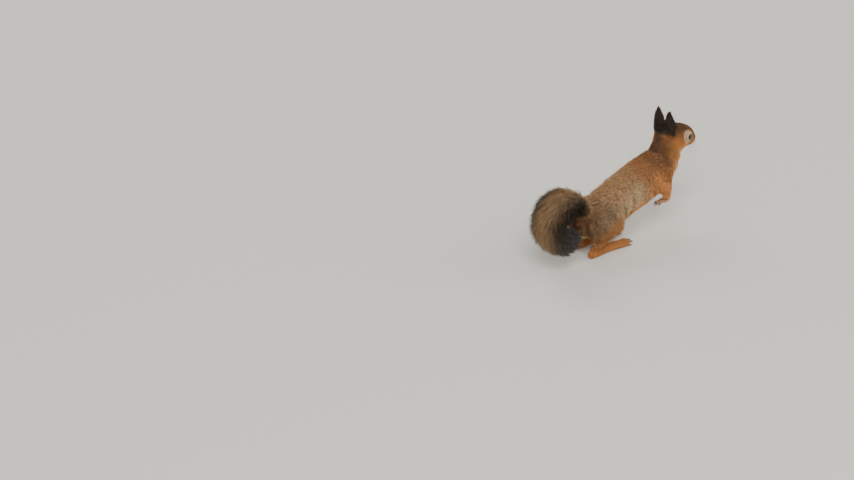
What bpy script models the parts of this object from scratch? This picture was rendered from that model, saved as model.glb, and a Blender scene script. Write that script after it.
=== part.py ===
"""A red squirrel, life size, at the push-off of a bound: hind feet flat, forepaws lifted, tail arched over.

Metres, +Z up. The squirrel faces +X and its left side is +Y. The script works in millimetres from the right
heel, then moves everything so that the middle of the outline stands over the origin, with the soles at z = 0.
The solids reach to the tips of the coat. Trunk, neck, head, thighs, lower legs and upper arms are one blended
body, which thin cuts part into its named pieces. The forearms, paws, ears and tail are shaped on their own
and trimmed to what carries them.
"""

import math

import bmesh
import bpy
import numpy as np
from mathutils import Matrix, Vector

MM = 0.001
GAP = 0.3  # what parts two pieces that meet
BODY_CELL = 1.0  # how finely the blended body is meshed
PAW_CELL = 0.5
FILLET = 3.0  # where two shapes of the body meet
BODY_SOFTENING = 8  # rounds of smoothing
BODY_FACES = 2300
FOOT_FACES = 420
HAND_FACES = 310
KEPT_SHARE = 0.63  # of a piece's faces, once the slivers along its cuts are dropped
UP = np.array([0.0, 0.0, 1.0])
SIDES = (("right", -1), ("left", 1))

# Trunk and neck along the spine: x, y, z, half width, half height.
SPINE = (
    (7, 0, 33, 17, 15),
    (20, 0, 35, 21.5, 19),
    (42, 0, 43, 22, 19.5),
    (63, 0, 49.5, 22, 20.5),
    (84, 0, 55, 21.5, 22),
    (102, 0, 61, 19, 20),
    (115, 0.5, 69.5, 16, 18.5),
    (120, 1.5, 79.5, 14, 17.5),
    (121, 3, 88.5, 12.5, 13.5),
)
HEAD_BACK = (112.4, 3, 95.2)  # the back of the skull
HEAD_PITCH = -21  # degrees, nose down
HEAD_YAW = 0  # degrees, towards its left
EYE = (31, 9.4, 3.0)  # ahead, aside and above in the head's own frame
EYE_RADIUS = 4.6
NOSE = (52.6, 0, 0.2)
NOSE_RADII = (2.2, 2.6, 2.1)
EAR_FOOT = (5, 8, 5)
EAR_LENGTH = 25.5  # with its dark tuft
EAR_RISE = {"right": (-0.12, -0.10, 0.97), "left": (-0.10, -0.14, 0.97)}  # where each ear points
EAR_FACING = {"right": (1, 0.12, 0), "left": (1, 0.10, 0)}  # where each ear's hollow looks

HIP = (15, 16, 38)
KNEE = (33, 19, 28)
ANKLE = (6, 13, 9)
FOOT_LENGTH = 56  # heel to the ends of the toes
FOOT_TURN = -1  # degrees, toes outwards
HEEL_BEHIND_ANKLE = 4
SOLE_CUT = 0.5  # how much of the round sole the floor takes off
LEFT_FOOT_AHEAD = 5

BLADE = (90, 11, 65)  # the top of the shoulder blade
SHOULDER = (101, 14, 62)
ELBOW = (102, 18.5, 45)
WRIST = (109.5, 13, 31)
HAND_POINTS = (-0.93, -0.30, -0.12)  # where the left hand's bent fingers point
HAND_LENGTH = 15
LEFT_HAND_LIFT = (4, 0, 3)

# What is cut out of the body as a piece: radii of an oval region, or how far a region stands off a limb.
THIGH_REGION = (25, 13, 21)
UPPER_ARM_REGION = (12, 9.5, 17)
SHANK_STAND_OFF = 2.2

# The thin cuts that part the rest: middle, axis and radius. They run head, neck, chest, belly, rump.
BODY_CUTS = (
    ((119, 2, 79.5), (0.5, 0, 0.85), 24),
    ((107, 0, 64), (1, 0, 0.55), 34),
    ((76, 0, 53), (1, 0, 0.25), 36),
    ((38, 0, 41), (1, 0, 0.3), 40),
)
TAIL_CUTS = (2, 4, 6)  # the stations of the tail where one length ends and the next starts

# The tail's line, and its coat's half width and half depth: x, y, z, half width, half depth.
TAIL = (
    (10, 0, 31, 8, 7),
    (3, -1, 43, 15, 9),
    (-4, -2, 57, 21, 11),
    (-15, -3, 67, 24, 14),
    (-29, -4, 71, 26, 14.5),
    (-42, -4, 64, 27, 14.5),
    (-49.5, -4, 51.5, 27, 14.5),
    (-49.5, -4, 38.5, 26, 14),
    (-42, -4, 28.5, 24, 12.8),
    (-30, -5, 24, 21, 12),
    (-19, -6, 25.5, 14, 8.5),
)

# How each node is finished, by how its name starts: colour and roughness.
FINISHES = {
    ("rump", "belly"): ((0.22, 0.17, 0.11), 0.9),
    ("head", "neck", "chest", "upper", "fore", "thigh", "shank"): ((0.31, 0.14, 0.06), 0.9),
    ("hand", "foot"): ((0.40, 0.22, 0.12), 0.9),
    ("ear", "tail"): ((0.02, 0.015, 0.01), 0.9),
    ("eye",): ((0.01, 0.006, 0.004), 0.1),
    ("nose",): ((0.05, 0.03, 0.025), 0.5),
}


def clear_scene():
    for obj in list(bpy.data.objects):
        bpy.data.objects.remove(obj, do_unlink=True)


def finish_material(name, colour, roughness):
    material = bpy.data.materials.new(name)
    material.use_nodes = True
    shader = material.node_tree.nodes["Principled BSDF"]
    shader.inputs["Base Color"].default_value = (*colour, 1.0)
    shader.inputs["Roughness"].default_value = roughness
    shader.inputs["Metallic"].default_value = 0.0
    return material


def unit(vector):
    return np.asarray(vector, float) / np.linalg.norm(vector)


# ---- meshes --------------------------------------------------------------------------------------


def make_object(name, vertices, faces):
    """An object whose faces are turned outwards."""
    mesh = bpy.data.meshes.new(name)
    mesh.from_pydata([tuple(v) for v in np.asarray(vertices) * MM], [], faces)
    work = bmesh.new()
    work.from_mesh(mesh)
    bmesh.ops.recalc_face_normals(work, faces=work.faces)
    work.to_mesh(mesh)
    work.free()
    obj = bpy.data.objects.new(name, mesh)
    bpy.context.scene.collection.objects.link(obj)
    return obj


def closed_rings(name, rings):
    """A closed skin over rings of equal count, with each end drawn to the middle of its ring."""
    rings = np.asarray(rings, float)
    count, sides = rings.shape[:2]
    vertices = np.vstack([rings.reshape(-1, 3), rings[0].mean(0), rings[-1].mean(0)])
    first, last = count * sides, count * sides + 1
    faces = []
    for i in range(sides):
        j = (i + 1) % sides
        faces.append((first, j, i))
        faces.append((last, (count - 1) * sides + i, (count - 1) * sides + j))
        for k in range(count - 1):
            faces.append((k * sides + i, k * sides + j, (k + 1) * sides + j, (k + 1) * sides + i))
    return make_object(name, vertices, faces)


def smooth_line(points, steps):
    """Catmull-Rom curve through rows of numbers, steps to a span."""
    points = np.asarray(points, float)
    padded = np.vstack([2 * points[0] - points[1], points, 2 * points[-1] - points[-2]])
    rows = []
    for a, b, c, d in zip(padded[:-3], padded[1:-2], padded[2:-1], padded[3:]):
        for t in np.arange(steps) / steps:
            square = (2 * a - 5 * b + 4 * c - d) * t**2
            cube = (3 * b - a - 3 * c + d) * t**3
            rows.append(0.5 * (2 * b + (c - a) * t + square + cube))
    rows.append(points[-1])
    return np.array(rows)


def limb(name, stations, steps=4, sides=24, across=(0, 1, 0)):
    """A round-ended tube of oval sections over rows of x, y, z, half width and half depth.

    The widths lie along across.
    """
    rows = smooth_line(stations, steps)
    centre, width, depth = rows[:, :3], rows[:, 3], rows[:, 4]
    along = np.gradient(centre, axis=0)
    along /= np.linalg.norm(along, axis=1)[:, None]
    side = np.asarray(across, float) - along * (along @ np.asarray(across, float))[:, None]
    side /= np.linalg.norm(side, axis=1)[:, None]
    over = np.cross(along, side)
    turn = np.arange(sides) * 2 * math.pi / sides

    def ring(k, grow=1.0, ahead=0.0):
        oval = np.outer(np.cos(turn) * width[k], side[k]) + np.outer(np.sin(turn) * depth[k], over[k])
        return centre[k] + along[k] * ahead + oval * grow

    rings = [ring(k) for k in range(len(rows))]
    bends = np.radians((75, 50, 25))
    reach = [min(width[k], depth[k]) for k in (0, -1)]
    start = [ring(0, math.cos(b), -math.sin(b) * reach[0]) for b in bends]
    end = [ring(-1, math.cos(b), math.sin(b) * reach[1]) for b in bends[::-1]]
    return closed_rings(name, start + rings + end)


def ball(name, centre, radii, turn=None, sides=24):
    """An ellipsoid, turned by a 3 by 3 matrix about its middle."""
    bends = np.linspace(-math.pi / 2, math.pi / 2, sides // 2 + 1)[1:-1]
    round_turn = np.arange(sides) * 2 * math.pi / sides
    rings = []
    for b in bends:
        ahead = np.full(sides, math.sin(b))
        rings.append(np.stack([ahead, math.cos(b) * np.cos(round_turn), math.cos(b) * np.sin(round_turn)], 1))
    rings = np.array(rings) * np.asarray(radii, float)
    tips = np.array([[-radii[0], 0, 0], [radii[0], 0, 0]], float)
    turn = np.eye(3) if turn is None else np.asarray(turn)
    obj = closed_rings(name, rings @ turn.T + np.asarray(centre, float))
    for vertex, tip in zip(obj.data.vertices[-2:], tips @ turn.T + np.asarray(centre, float)):
        vertex.co = Vector(tip * MM)
    return obj


def evaluated_mesh(obj):
    bpy.context.view_layer.update()
    graph = bpy.context.evaluated_depsgraph_get()
    return bpy.data.meshes.new_from_object(obj.evaluated_get(graph))


def apply_modifiers(obj):
    mesh = evaluated_mesh(obj)
    obj.modifiers.clear()
    obj.data = mesh
    return obj


def copy_of(obj, name):
    copy = bpy.data.objects.new(name, obj.data.copy())
    copy.matrix_world = obj.matrix_world
    bpy.context.scene.collection.objects.link(copy)
    return copy


def joined(name, objects):
    """One object that holds the faces of all, which are removed."""
    work = bmesh.new()
    for obj in objects:
        work.from_mesh(obj.data)
        bpy.data.objects.remove(obj, do_unlink=True)
    mesh = bpy.data.meshes.new(name)
    work.to_mesh(mesh)
    work.free()
    obj = bpy.data.objects.new(name, mesh)
    bpy.context.scene.collection.objects.link(obj)
    return obj


def voxel(obj, size):
    modifier = obj.modifiers.new("remesh", "REMESH")
    modifier.mode = "VOXEL"
    modifier.voxel_size = size * MM


def swell(obj, by):
    modifier = obj.modifiers.new("swell", "DISPLACE")
    modifier.mid_level = 0.0
    modifier.strength = by * MM


def soften(obj, repeats):
    modifier = obj.modifiers.new("soften", "SMOOTH")
    modifier.factor = 0.5
    modifier.iterations = repeats


def thin_out(obj, triangles):
    """Drops faces down to a count, or to a share of them below 1, most where the surface is flat."""
    mesh = evaluated_mesh(obj)
    mesh.calc_loop_triangles()
    modifier = obj.modifiers.new("decimate", "DECIMATE")
    modifier.ratio = triangles if triangles < 1 else min(1.0, triangles / len(mesh.loop_triangles))
    modifier.use_collapse_triangulate = True
    bpy.data.meshes.remove(mesh)


def blended(name, objects, cell, fillet, softening):
    """The union of closed shapes. It gets a fillet where they meet: swollen, meshed again and drawn in."""
    obj = joined(name, objects)
    voxel(obj, cell)
    if fillet:
        soften(obj, 2)
        swell(obj, fillet)
        voxel(obj, cell)
        soften(obj, 2)
        swell(obj, -fillet)
        voxel(obj, cell)
    soften(obj, softening)
    return apply_modifiers(obj)


def grown(obj, by=GAP):
    """A cutter that stands off a piece by the gap."""
    cutter = copy_of(obj, "cutter")
    swell(cutter, by)
    return apply_modifiers(cutter)


def boolean(obj, cutter, operation):
    """Cuts or joins with an EXACT Boolean and removes the cutter."""
    modifier = obj.modifiers.new("boolean", "BOOLEAN")
    modifier.operation = operation
    modifier.solver = "EXACT"
    modifier.object = cutter
    apply_modifiers(obj)
    bpy.data.objects.remove(cutter, do_unlink=True)
    return obj


def islands(obj):
    """The connected bodies of a mesh, largest first, as sets of face indices."""
    work = bmesh.new()
    work.from_mesh(obj.data)
    work.faces.ensure_lookup_table()
    seen, found = set(), []
    for face in work.faces:
        if face.index in seen:
            continue
        body, todo = set(), [face]
        while todo:
            here = todo.pop()
            if here.index in body:
                continue
            body.add(here.index)
            todo.extend(other for edge in here.edges for other in edge.link_faces if other.index not in body)
        seen |= body
        found.append(body)
    work.free()
    return sorted(found, key=len, reverse=True)


def keep_island(obj, body):
    work = bmesh.new()
    work.from_mesh(obj.data)
    work.faces.ensure_lookup_table()
    others = [face for face in work.faces if face.index not in body]
    bmesh.ops.delete(work, geom=others, context="FACES")
    work.to_mesh(obj.data)
    work.free()
    return obj


def keep_largest(obj):
    return keep_island(obj, islands(obj)[0])


def disc(centre, axis, radius, thickness=GAP):
    """A thin round cutter across a limb."""
    axis = unit(axis)
    side = unit(np.cross(axis, UP if abs(axis[2]) < 0.9 else (1, 0, 0)))
    over = np.cross(axis, side)
    turn = np.arange(32) * 2 * math.pi / 32
    oval = np.outer(np.cos(turn), side) + np.outer(np.sin(turn), over)
    centre = np.asarray(centre, float)
    rings = [centre + axis * at * thickness + oval * radius for at in (-0.5, 0.5)]
    return closed_rings("disc", rings)


def parted(whole, cuts, names):
    """Cuts a body with thin discs and names each piece by the point that lies nearest to its middle."""
    for cut in cuts:
        boolean(whole, disc(*cut), "DIFFERENCE")
    bodies = islands(whole)[: len(names)]
    left = dict(names)
    pieces = {}
    for body in bodies:
        corners = {i for f in body for i in whole.data.polygons[f].vertices}
        middle = np.mean([whole.data.vertices[i].co / MM for i in corners], axis=0)
        name = min(left, key=lambda n: np.linalg.norm(middle - np.asarray(left[n], float)))
        del left[name]
        pieces[name] = keep_island(copy_of(whole, name), body)
    bpy.data.objects.remove(whole, do_unlink=True)
    return pieces


# ---- the head ------------------------------------------------------------------------------------


def head_axes():
    """The head's own frame as columns: ahead, to its left, and up."""
    pitch = Matrix.Rotation(math.radians(-HEAD_PITCH), 3, "Y")
    yaw = Matrix.Rotation(math.radians(HEAD_YAW), 3, "Z")
    return np.array(yaw @ pitch)


def on_head(point):
    return np.array(HEAD_BACK, float) + head_axes() @ np.asarray(point, float)


def head_line(stations):
    """Stations in the head's frame, as stations of the model."""
    return [(*on_head(row[:3]), *row[3:]) for row in stations]


def head_shapes():
    """Brain case, face, cheeks, brows, whisker pads and jaw, as closed shapes that overlap."""
    axes = head_axes()
    face = (
        (20, 0, 1.2, 13.3, 12.6),
        (29, 0, 2.0, 11.8, 12.2),
        (36.5, 0, 1.9, 10.0, 11.0),
        (43, 0, 0.5, 8.2, 9.2),
        (48, 0, -0.6, 6.0, 6.5),
    )
    jaw = ((20, 0, -7, 9.5, 6.8), (32, 0, -7.6, 7.2, 5.2), (45, 0, -6.4, 4.6, 3.4))
    shapes = [
        ball("brain_case", on_head((15, 0, 0.5)), (17.5, 14.2, 13), axes),
        limb("face", head_line(face), across=axes[:, 1]),
        limb("jaw", head_line(jaw), across=axes[:, 1]),
    ]
    ahead, aside, up = EAR_FOOT
    for name, side in SIDES:
        shapes += [
            ball(f"cheek_{name}", on_head((22.5, side * 7.6, -4.2)), (11.5, 7.6, 8.2), axes),
            ball(f"brow_{name}", on_head((31, side * 7.3, 6.3)), (8, 5, 4.6), axes),
            ball(f"under_eye_{name}", on_head((33, side * 7.5, -2)), (7.5, 4.8, 4.4), axes),
            ball(f"whisker_pad_{name}", on_head((45.5, side * 3.1, -2.6)), (5.2, 3.9, 4.1), axes),
            ball(f"ear_root_{name}", on_head((ahead, side * aside, up - 1)), (6, 4.5, 5), axes),
        ]
    return shapes


def ear(name, side):
    """A cupped leaf. Its section is a crescent open forwards; the dark tuft lengthens the tip."""
    axes = head_axes()
    rise = unit(EAR_RISE[name.removeprefix("ear_")])
    facing = np.array(EAR_FACING[name.removeprefix("ear_")], float)
    facing = unit(facing - rise * (facing @ rise))
    across = np.cross(rise, facing)
    foot = on_head((EAR_FOOT[0], side * EAR_FOOT[1], EAR_FOOT[2] - 2))
    # Share of the length, half width, wall and how deep it is cupped.
    leaf = smooth_line(
        (
            (0, 6.2, 3.8, 2.0),
            (0.2, 7.5, 3.2, 4.2),
            (0.42, 7.1, 2.9, 4.2),
            (0.62, 5.8, 2.7, 3.0),
            (0.8, 4.1, 2.5, 1.5),
            (1, 1.8, 2.2, 0.2),
        ),
        2,
    )
    spread = np.linspace(-1, 1, 8)
    rings = []
    for share, half, wall, cup in leaf:
        middle = foot + rise * share * (EAR_LENGTH + 2)
        bow = cup * (spread**2 - 1 / 3)
        thin = wall * np.sqrt(np.clip(1 - 0.82 * spread**2, 0, 1)) / 2
        back = middle + np.outer(spread * half, across) + np.outer(bow - thin, facing)
        front = middle + np.outer(spread * half, across) + np.outer(bow + thin, facing)
        rings.append(np.vstack([back, front[::-1]]))
    return closed_rings(name, rings)


# ---- the limbs -----------------------------------------------------------------------------------


def beside(point, side, ahead=(0, 0, 0)):
    """A point of the left side mirrored to a side, and moved on the left by ahead."""
    moved = np.asarray(ahead, float) if side > 0 else np.zeros(3)
    return np.array([point[0], point[1] * side, point[2]], float) + moved


def thigh_shapes(name, side):
    """The thigh from inside the rump to the knee, and the ham that lies behind and below it."""
    hip, knee = beside(HIP, side), beside(KNEE, side, (LEFT_FOOT_AHEAD / 2, 0, 0))
    middle = (hip + knee) / 2
    root = hip + (0, -side * 6, 4)
    back = np.array([-6.0, 0, -7.0])
    return [
        limb(f"thigh_{name}", ((*root, 9, 17), (*hip, 9.5, 18), (*middle, 8.5, 14.5), (*knee, 6.5, 9))),
        limb(f"ham_{name}", ((*(hip + back), 8, 12), (*(middle + back), 7, 9))),
    ]


def arm_shapes(name, side):
    """Shoulder blade and upper arm, down to the elbow."""
    blade, shoulder, elbow = (beside(point, side) for point in (BLADE, SHOULDER, ELBOW))
    middle = (shoulder + elbow) / 2
    stations = ((*blade, 6, 8), (*shoulder, 7.5, 10), (*middle, 5.5, 8.5), (*elbow, 4.4, 6))
    return [limb(f"arm_{name}", stations)]


def shank(name, side, stand_off=0.0):
    """The lower leg from the knee to the heel, or a region that stands off it all round."""
    ahead = (LEFT_FOOT_AHEAD, 0, 0)
    knee, ankle = beside(KNEE, side, (LEFT_FOOT_AHEAD / 2, 0, 0)), beside(ANKLE, side, ahead)
    calf = knee * 0.5 + ankle * 0.5 + (-1, 0, -1)
    widths = ((5, 6), (4.8, 6), (3.9, 4.6))
    stations = [
        (*point, width + stand_off, depth + stand_off)
        for point, (width, depth) in zip((knee, calf, ankle), widths)
    ]
    return limb(name, stations, steps=3, sides=16)


def forearm(name, side):
    elbow, wrist = beside(ELBOW, side), beside(WRIST, side, LEFT_HAND_LIFT)
    middle = elbow * 0.5 + wrist * 0.5
    return limb(name, ((*elbow, 4.4, 5.4), (*middle, 4.0, 4.8), (*wrist, 3.3, 3.4)), steps=3, sides=12)


def digit(name, root, way, length, radius, claw):
    """A toe or finger with its pad, ending in a claw that bends down."""
    root, way = np.asarray(root, float), unit(way)
    tip = root + way * length
    claw_way = unit(way - UP * 0.35)
    return [
        limb(
            name,
            (
                (*root, radius, radius),
                (*(root + way * length * 0.5 + UP * radius * 0.25), radius * 0.92, radius * 0.92),
                (*(tip - way * radius), radius * 0.95, radius * 0.9),
            ),
            steps=3,
            sides=12,
        ),
        limb(
            name + "_claw",
            (
                (*(tip - way * radius * 1.2), 0.85, 0.95),
                (*(tip + claw_way * claw * 0.4), 0.65, 0.8),
                (*(tip + claw_way * claw), 0.4, 0.45),
            ),
            steps=3,
            sides=8,
        ),
    ]


def paw(name, shapes, triangles, matrix):
    """Joins a paw's shapes in its own frame, thins it out and puts it in place."""
    obj = blended(name, shapes, PAW_CELL, 0, 3)
    thin_out(obj, triangles)
    apply_modifiers(obj)
    obj.data.transform(matrix)
    return obj


def foot(name, side):
    """A long sole on the floor with five toes, the inner one short and set back."""
    long = FOOT_LENGTH
    shapes = [
        limb(
            "sole",
            (
                (1.5, 0, 4.6, 4.2, 4.6),
                (10, 0, 4.2, 4.4, 4.6),
                (long * 0.42, 0, 4.2, 4.7, 4.4),
                (long * 0.62, 0, 3.8, 6.4, 4.0),
                (long * 0.72, 0, 3.3, 6.6, 3.4),
            ),
        )
    ]
    # Root ahead as a share of the foot, root aside, degrees outwards, length and radius, inner toe first.
    toes = (
        (0.60, -5.0, -16, 10.5, 1.9),
        (0.74, -4.2, -8, 14.0, 2.0),
        (0.76, -1.4, -2, 15.2, 2.05),
        (0.75, 1.6, 5, 14.6, 2.05),
        (0.68, 4.8, 14, 12.0, 2.0),
    )
    for index, (ahead, aside, out, length, radius) in enumerate(toes):
        way = (math.cos(math.radians(out)), math.sin(math.radians(out)) * side, -0.04)
        shapes += digit(f"toe_{index}", (long * ahead, aside * side, 2.4), way, length, radius, 3.6)
    ankle = beside(ANKLE, side, (LEFT_FOOT_AHEAD, 0, 0))
    turn = Matrix.Rotation(math.radians(FOOT_TURN * side), 4, "Z")
    place = Matrix.Translation(Vector((ankle[0] - HEEL_BEHIND_ANKLE, ankle[1] - side * 0.5, -SOLE_CUT)) * MM)
    obj = paw(name, shapes, FOOT_FACES, place @ turn)
    floor_depth = 10
    floor = block((ankle[0] + long / 2, ankle[1], -floor_depth), (long, long / 2, floor_depth))
    boolean(obj, floor, "DIFFERENCE")
    return keep_largest(obj)


def block(centre, halves):
    """A box by its middle and half sides."""
    corners = [(x, y, z) for x in (-1, 1) for y in (-1, 1) for z in (-1, 1)]
    faces = [(0, 1, 3, 2), (4, 6, 7, 5), (0, 4, 5, 1), (2, 3, 7, 6), (0, 2, 6, 4), (1, 5, 7, 3)]
    corners = np.asarray(corners) * np.asarray(halves, float) + np.asarray(centre, float)
    return make_object("box", corners, faces)


def hand(name, side):
    """A small palm with four fingers, loosely bent, and a stub of a thumb."""
    long = HAND_LENGTH
    palm = ((0, 0, 0, 3.3, 3.2), (3.5, 0, -0.2, 4.3, 3.0), (long * 0.42, 0, -0.3, 4.4, 2.5))
    shapes = [limb("palm", palm)]
    # Root ahead as a share of the hand, root aside, degrees outwards, length and radius, inner finger first.
    fingers = (
        (0.40, -3.0, -14, 6.8, 1.45),
        (0.46, -1.1, -4, 8.2, 1.5),
        (0.46, 1.0, 5, 8.0, 1.5),
        (0.40, 2.9, 15, 6.6, 1.45),
    )
    for index, (ahead, aside, out, length, radius) in enumerate(fingers):
        way = (math.cos(math.radians(out)), math.sin(math.radians(out)), -0.22)
        shapes += digit(f"finger_{index}", (long * ahead, aside, -0.3), way, length, radius, 3.0)
    shapes.append(ball("thumb", (4.0, -side * 4.0, -1.5), (2.0, 1.5, 1.4)))
    ahead = unit((HAND_POINTS[0], side * HAND_POINTS[1], HAND_POINTS[2]))
    across = unit(np.cross((0.3, 0, 1), ahead))
    over = np.cross(ahead, across)
    wrist = beside(WRIST, side, LEFT_HAND_LIFT) * MM
    place = Matrix(((*ahead, 0), (*across, 0), (*over, 0), (0, 0, 0, 1))).transposed()
    place = Matrix.Translation(Vector(wrist)) @ place
    return paw(name, shapes, HAND_FACES, place)


# ---- putting it together -------------------------------------------------------------------------


def body_shapes():
    shapes = [limb("spine", SPINE, steps=6, sides=32)]
    shapes += head_shapes()
    for name, side in SIDES:
        shapes += thigh_shapes(name, side) + arm_shapes(name, side)
        shapes.append(shank(f"shank_{name}", side))
    return shapes


def cut_out(body, region, name):
    """Takes the part of the body inside a region as a piece, and leaves the rest with a gap round it."""
    piece = copy_of(body, name)
    boolean(piece, copy_of(region, "inside"), "INTERSECT")
    boolean(body, grown(region), "DIFFERENCE")
    bpy.data.objects.remove(region, do_unlink=True)
    return keep_largest(piece)


def build_flesh():
    """The blended body, parted into head, neck, chest, belly, rump, upper arms, thighs and lower legs."""
    body = blended("body", body_shapes(), BODY_CELL, FILLET, BODY_SOFTENING)
    thin_out(body, BODY_FACES)
    apply_modifiers(body)
    pieces = {}
    for name, side in SIDES:
        pieces[f"shank_{name}"] = cut_out(body, shank("region", side, SHANK_STAND_OFF), f"shank_{name}")
        hip, knee = beside(HIP, side), beside(KNEE, side, (LEFT_FOOT_AHEAD / 2, 0, 0))
        centre = hip * 0.5 + knee * 0.5 + (-1, side * 7, -2)
        region = ball("region", centre, THIGH_REGION, sides=14)
        pieces[f"thigh_{name}"] = cut_out(body, region, f"thigh_{name}")
        shoulder, elbow = beside(SHOULDER, side), beside(ELBOW, side)
        centre = shoulder * 0.4 + elbow * 0.6 + (0, side * 4, 0)
        region = ball("region", centre, UPPER_ARM_REGION, sides=14)
        pieces[f"upper_arm_{name}"] = cut_out(body, region, f"upper_arm_{name}")
    keep_largest(body)
    names = {
        "head": on_head((25, 0, 0)),
        "neck": (115, 0, 74),
        "chest": (92, 0, 58),
        "belly": (57, 0, 48),
        "rump": (20, 0, 36),
    }
    pieces.update(parted(body, BODY_CUTS, names))
    for piece in pieces.values():
        thin_out(piece, KEPT_SHARE)
        apply_modifiers(piece)
    return pieces


def build_tail(carrier):
    """The plume in four lengths, its root trimmed to the rump."""
    plume = limb("plume", TAIL, steps=2, sides=18)
    boolean(plume, grown(carrier), "DIFFERENCE")
    keep_largest(plume)
    line = np.array(TAIL, float)
    cuts = [(line[k, :3], line[k + 1, :3] - line[k - 1, :3], line[k, 3] + 5) for k in TAIL_CUTS]
    names = {
        "tail_root": line[1, :3],
        "tail_rise": line[3, :3],
        "tail_fall": line[5, :3],
        "tail_tip": line[8, :3],
    }
    return parted(plume, cuts, names)


def centre_on_floor(objects):
    """Moves all so that the middle of the outline is over the origin and the soles are on z = 0.

    Each object's own origin goes to the middle of its box.
    """
    boxes = {}
    for obj in objects:
        corners = np.array([v.co for v in obj.data.vertices])
        boxes[obj] = corners.min(0), corners.max(0)
    low = np.min([box[0] for box in boxes.values()], axis=0)
    high = np.max([box[1] for box in boxes.values()], axis=0)
    floor_point = Vector(((low[0] + high[0]) / 2, (low[1] + high[1]) / 2, low[2]))
    for obj, box in boxes.items():
        middle = Vector((box[0] + box[1]) / 2)
        obj.data.transform(Matrix.Translation(-middle))
        obj.location = middle - floor_point


def main():
    clear_scene()
    pieces = build_flesh()
    head = pieces["head"]
    for name, side in SIDES:
        middle = on_head((EYE[0], side * EYE[1], EYE[2]))
        eye = ball(f"eye_{name}", middle, (EYE_RADIUS,) * 3, head_axes(), 14)
        boolean(head, grown(eye), "DIFFERENCE")
        pieces[eye.name] = eye
    nose = ball("nose", on_head(NOSE), NOSE_RADII, head_axes(), 12)
    boolean(head, grown(nose), "DIFFERENCE")
    pieces["nose"] = nose
    keep_largest(head)
    for name, side in SIDES:
        pinna = ear(f"ear_{name}", side)
        pieces[pinna.name] = keep_largest(boolean(pinna, grown(head), "DIFFERENCE"))
        lower = forearm(f"forearm_{name}", side)
        for carrier in (f"upper_arm_{name}", "chest"):
            boolean(lower, grown(pieces[carrier]), "DIFFERENCE")
        pieces[lower.name] = keep_largest(lower)
        sole = foot(f"foot_{name}", side)
        for carrier in (f"shank_{name}", f"thigh_{name}"):
            boolean(sole, grown(pieces[carrier]), "DIFFERENCE")
        pieces[sole.name] = keep_largest(sole)
        palm = hand(f"hand_{name}", side)
        boolean(palm, grown(pieces[f"forearm_{name}"]), "DIFFERENCE")
        pieces[palm.name] = keep_largest(palm)
    pieces.update(build_tail(pieces["rump"]))
    for name, obj in pieces.items():
        obj.name = name
        colour, roughness = next(look for starts, look in FINISHES.items() if name.startswith(starts))
        obj.data.materials.clear()
        obj.data.materials.append(finish_material(name, colour, roughness))
        obj.data.shade_smooth()
        obj.data.set_sharp_from_angle(angle=math.radians(50))
    centre_on_floor(list(pieces.values()))


main()
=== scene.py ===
import math
from contextlib import contextmanager

import bmesh
import bpy
import numpy as np
from mathutils import Matrix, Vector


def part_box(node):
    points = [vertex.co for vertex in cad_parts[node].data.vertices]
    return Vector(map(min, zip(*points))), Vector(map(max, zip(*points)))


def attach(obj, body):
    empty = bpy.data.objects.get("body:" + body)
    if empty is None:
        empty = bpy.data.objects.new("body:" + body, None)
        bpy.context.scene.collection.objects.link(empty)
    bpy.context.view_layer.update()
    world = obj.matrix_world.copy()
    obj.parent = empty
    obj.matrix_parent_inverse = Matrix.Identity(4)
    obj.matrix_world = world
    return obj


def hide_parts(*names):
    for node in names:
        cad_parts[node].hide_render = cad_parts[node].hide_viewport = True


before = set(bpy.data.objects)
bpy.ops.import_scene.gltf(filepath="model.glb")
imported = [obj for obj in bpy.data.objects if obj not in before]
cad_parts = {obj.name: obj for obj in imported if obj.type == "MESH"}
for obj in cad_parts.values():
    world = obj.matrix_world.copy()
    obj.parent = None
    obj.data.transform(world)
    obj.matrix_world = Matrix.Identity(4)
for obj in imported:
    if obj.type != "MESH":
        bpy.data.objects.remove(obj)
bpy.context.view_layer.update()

bl_info = {
    "name": "Red squirrel",
    "version": (1, 0, 0),
    "blender": (4, 5, 0),
    "location": "3D View > Sidebar > Squirrel",
    "description": "Skin, eyes, claws, whiskers and a coat of solid tufts for a life-size squirrel",
    "category": "Add Mesh",
}

MM = 0.001
SIDES = (("right", -1), ("left", 1))
SEED = 11
CELL_PRIMES = (73856093, 19349663, 83492791)  # make one number of a cell's three

# The head's own frame runs ahead, aside and up from the back of the skull. These two places fix it.
EYE_ON_HEAD = (31.0, 10.1, 3.0)
NOSE_ON_HEAD = (52.6, 0.0, 0.2)

# The nose pad's radii ahead, aside and up in mm, and how far its middle is from its node's.
NOSE_RADII = (1.8, 2.3, 1.8)
NOSE_SHIFT = (-0.9, 0.0, 0.3)

# The left lip's line and the split above it, as places on the head. They are laid on the nearest skin.
LIP = ((52.2, 0.4, -3.8), (50.2, 2.2, -5.8), (47, 4.6, -6.9), (43.5, 6.0, -7.4))
LIP_SPLIT = ((55, 0, -2.0), (54, 0, -3.0), (53, 0, -4.2), (52, 0, -5.6))

# The coat of each node: how deep it is, how long and how wide a tuft is, in mm.
COAT = {
    "head": (1.7, 4.0, 0.50),
    "neck": (3.6, 9.0, 0.80),
    "chest": (4.0, 10.0, 0.85),
    "belly": (4.0, 11.0, 0.90),
    "rump": (4.0, 11.0, 0.90),
    "thigh": (2.8, 8.0, 0.75),
    "upper_arm": (2.2, 6.5, 0.65),
    "shank": (1.3, 4.5, 0.50),
    "forearm": (1.1, 3.8, 0.46),
    "foot": (0.45, 2.4, 0.36),
    "hand": (0.4, 1.8, 0.32),
    "ear": (0.3, 3.2, 0.32),
    "tail": (3.2, 9.0, 0.85),
}

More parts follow.
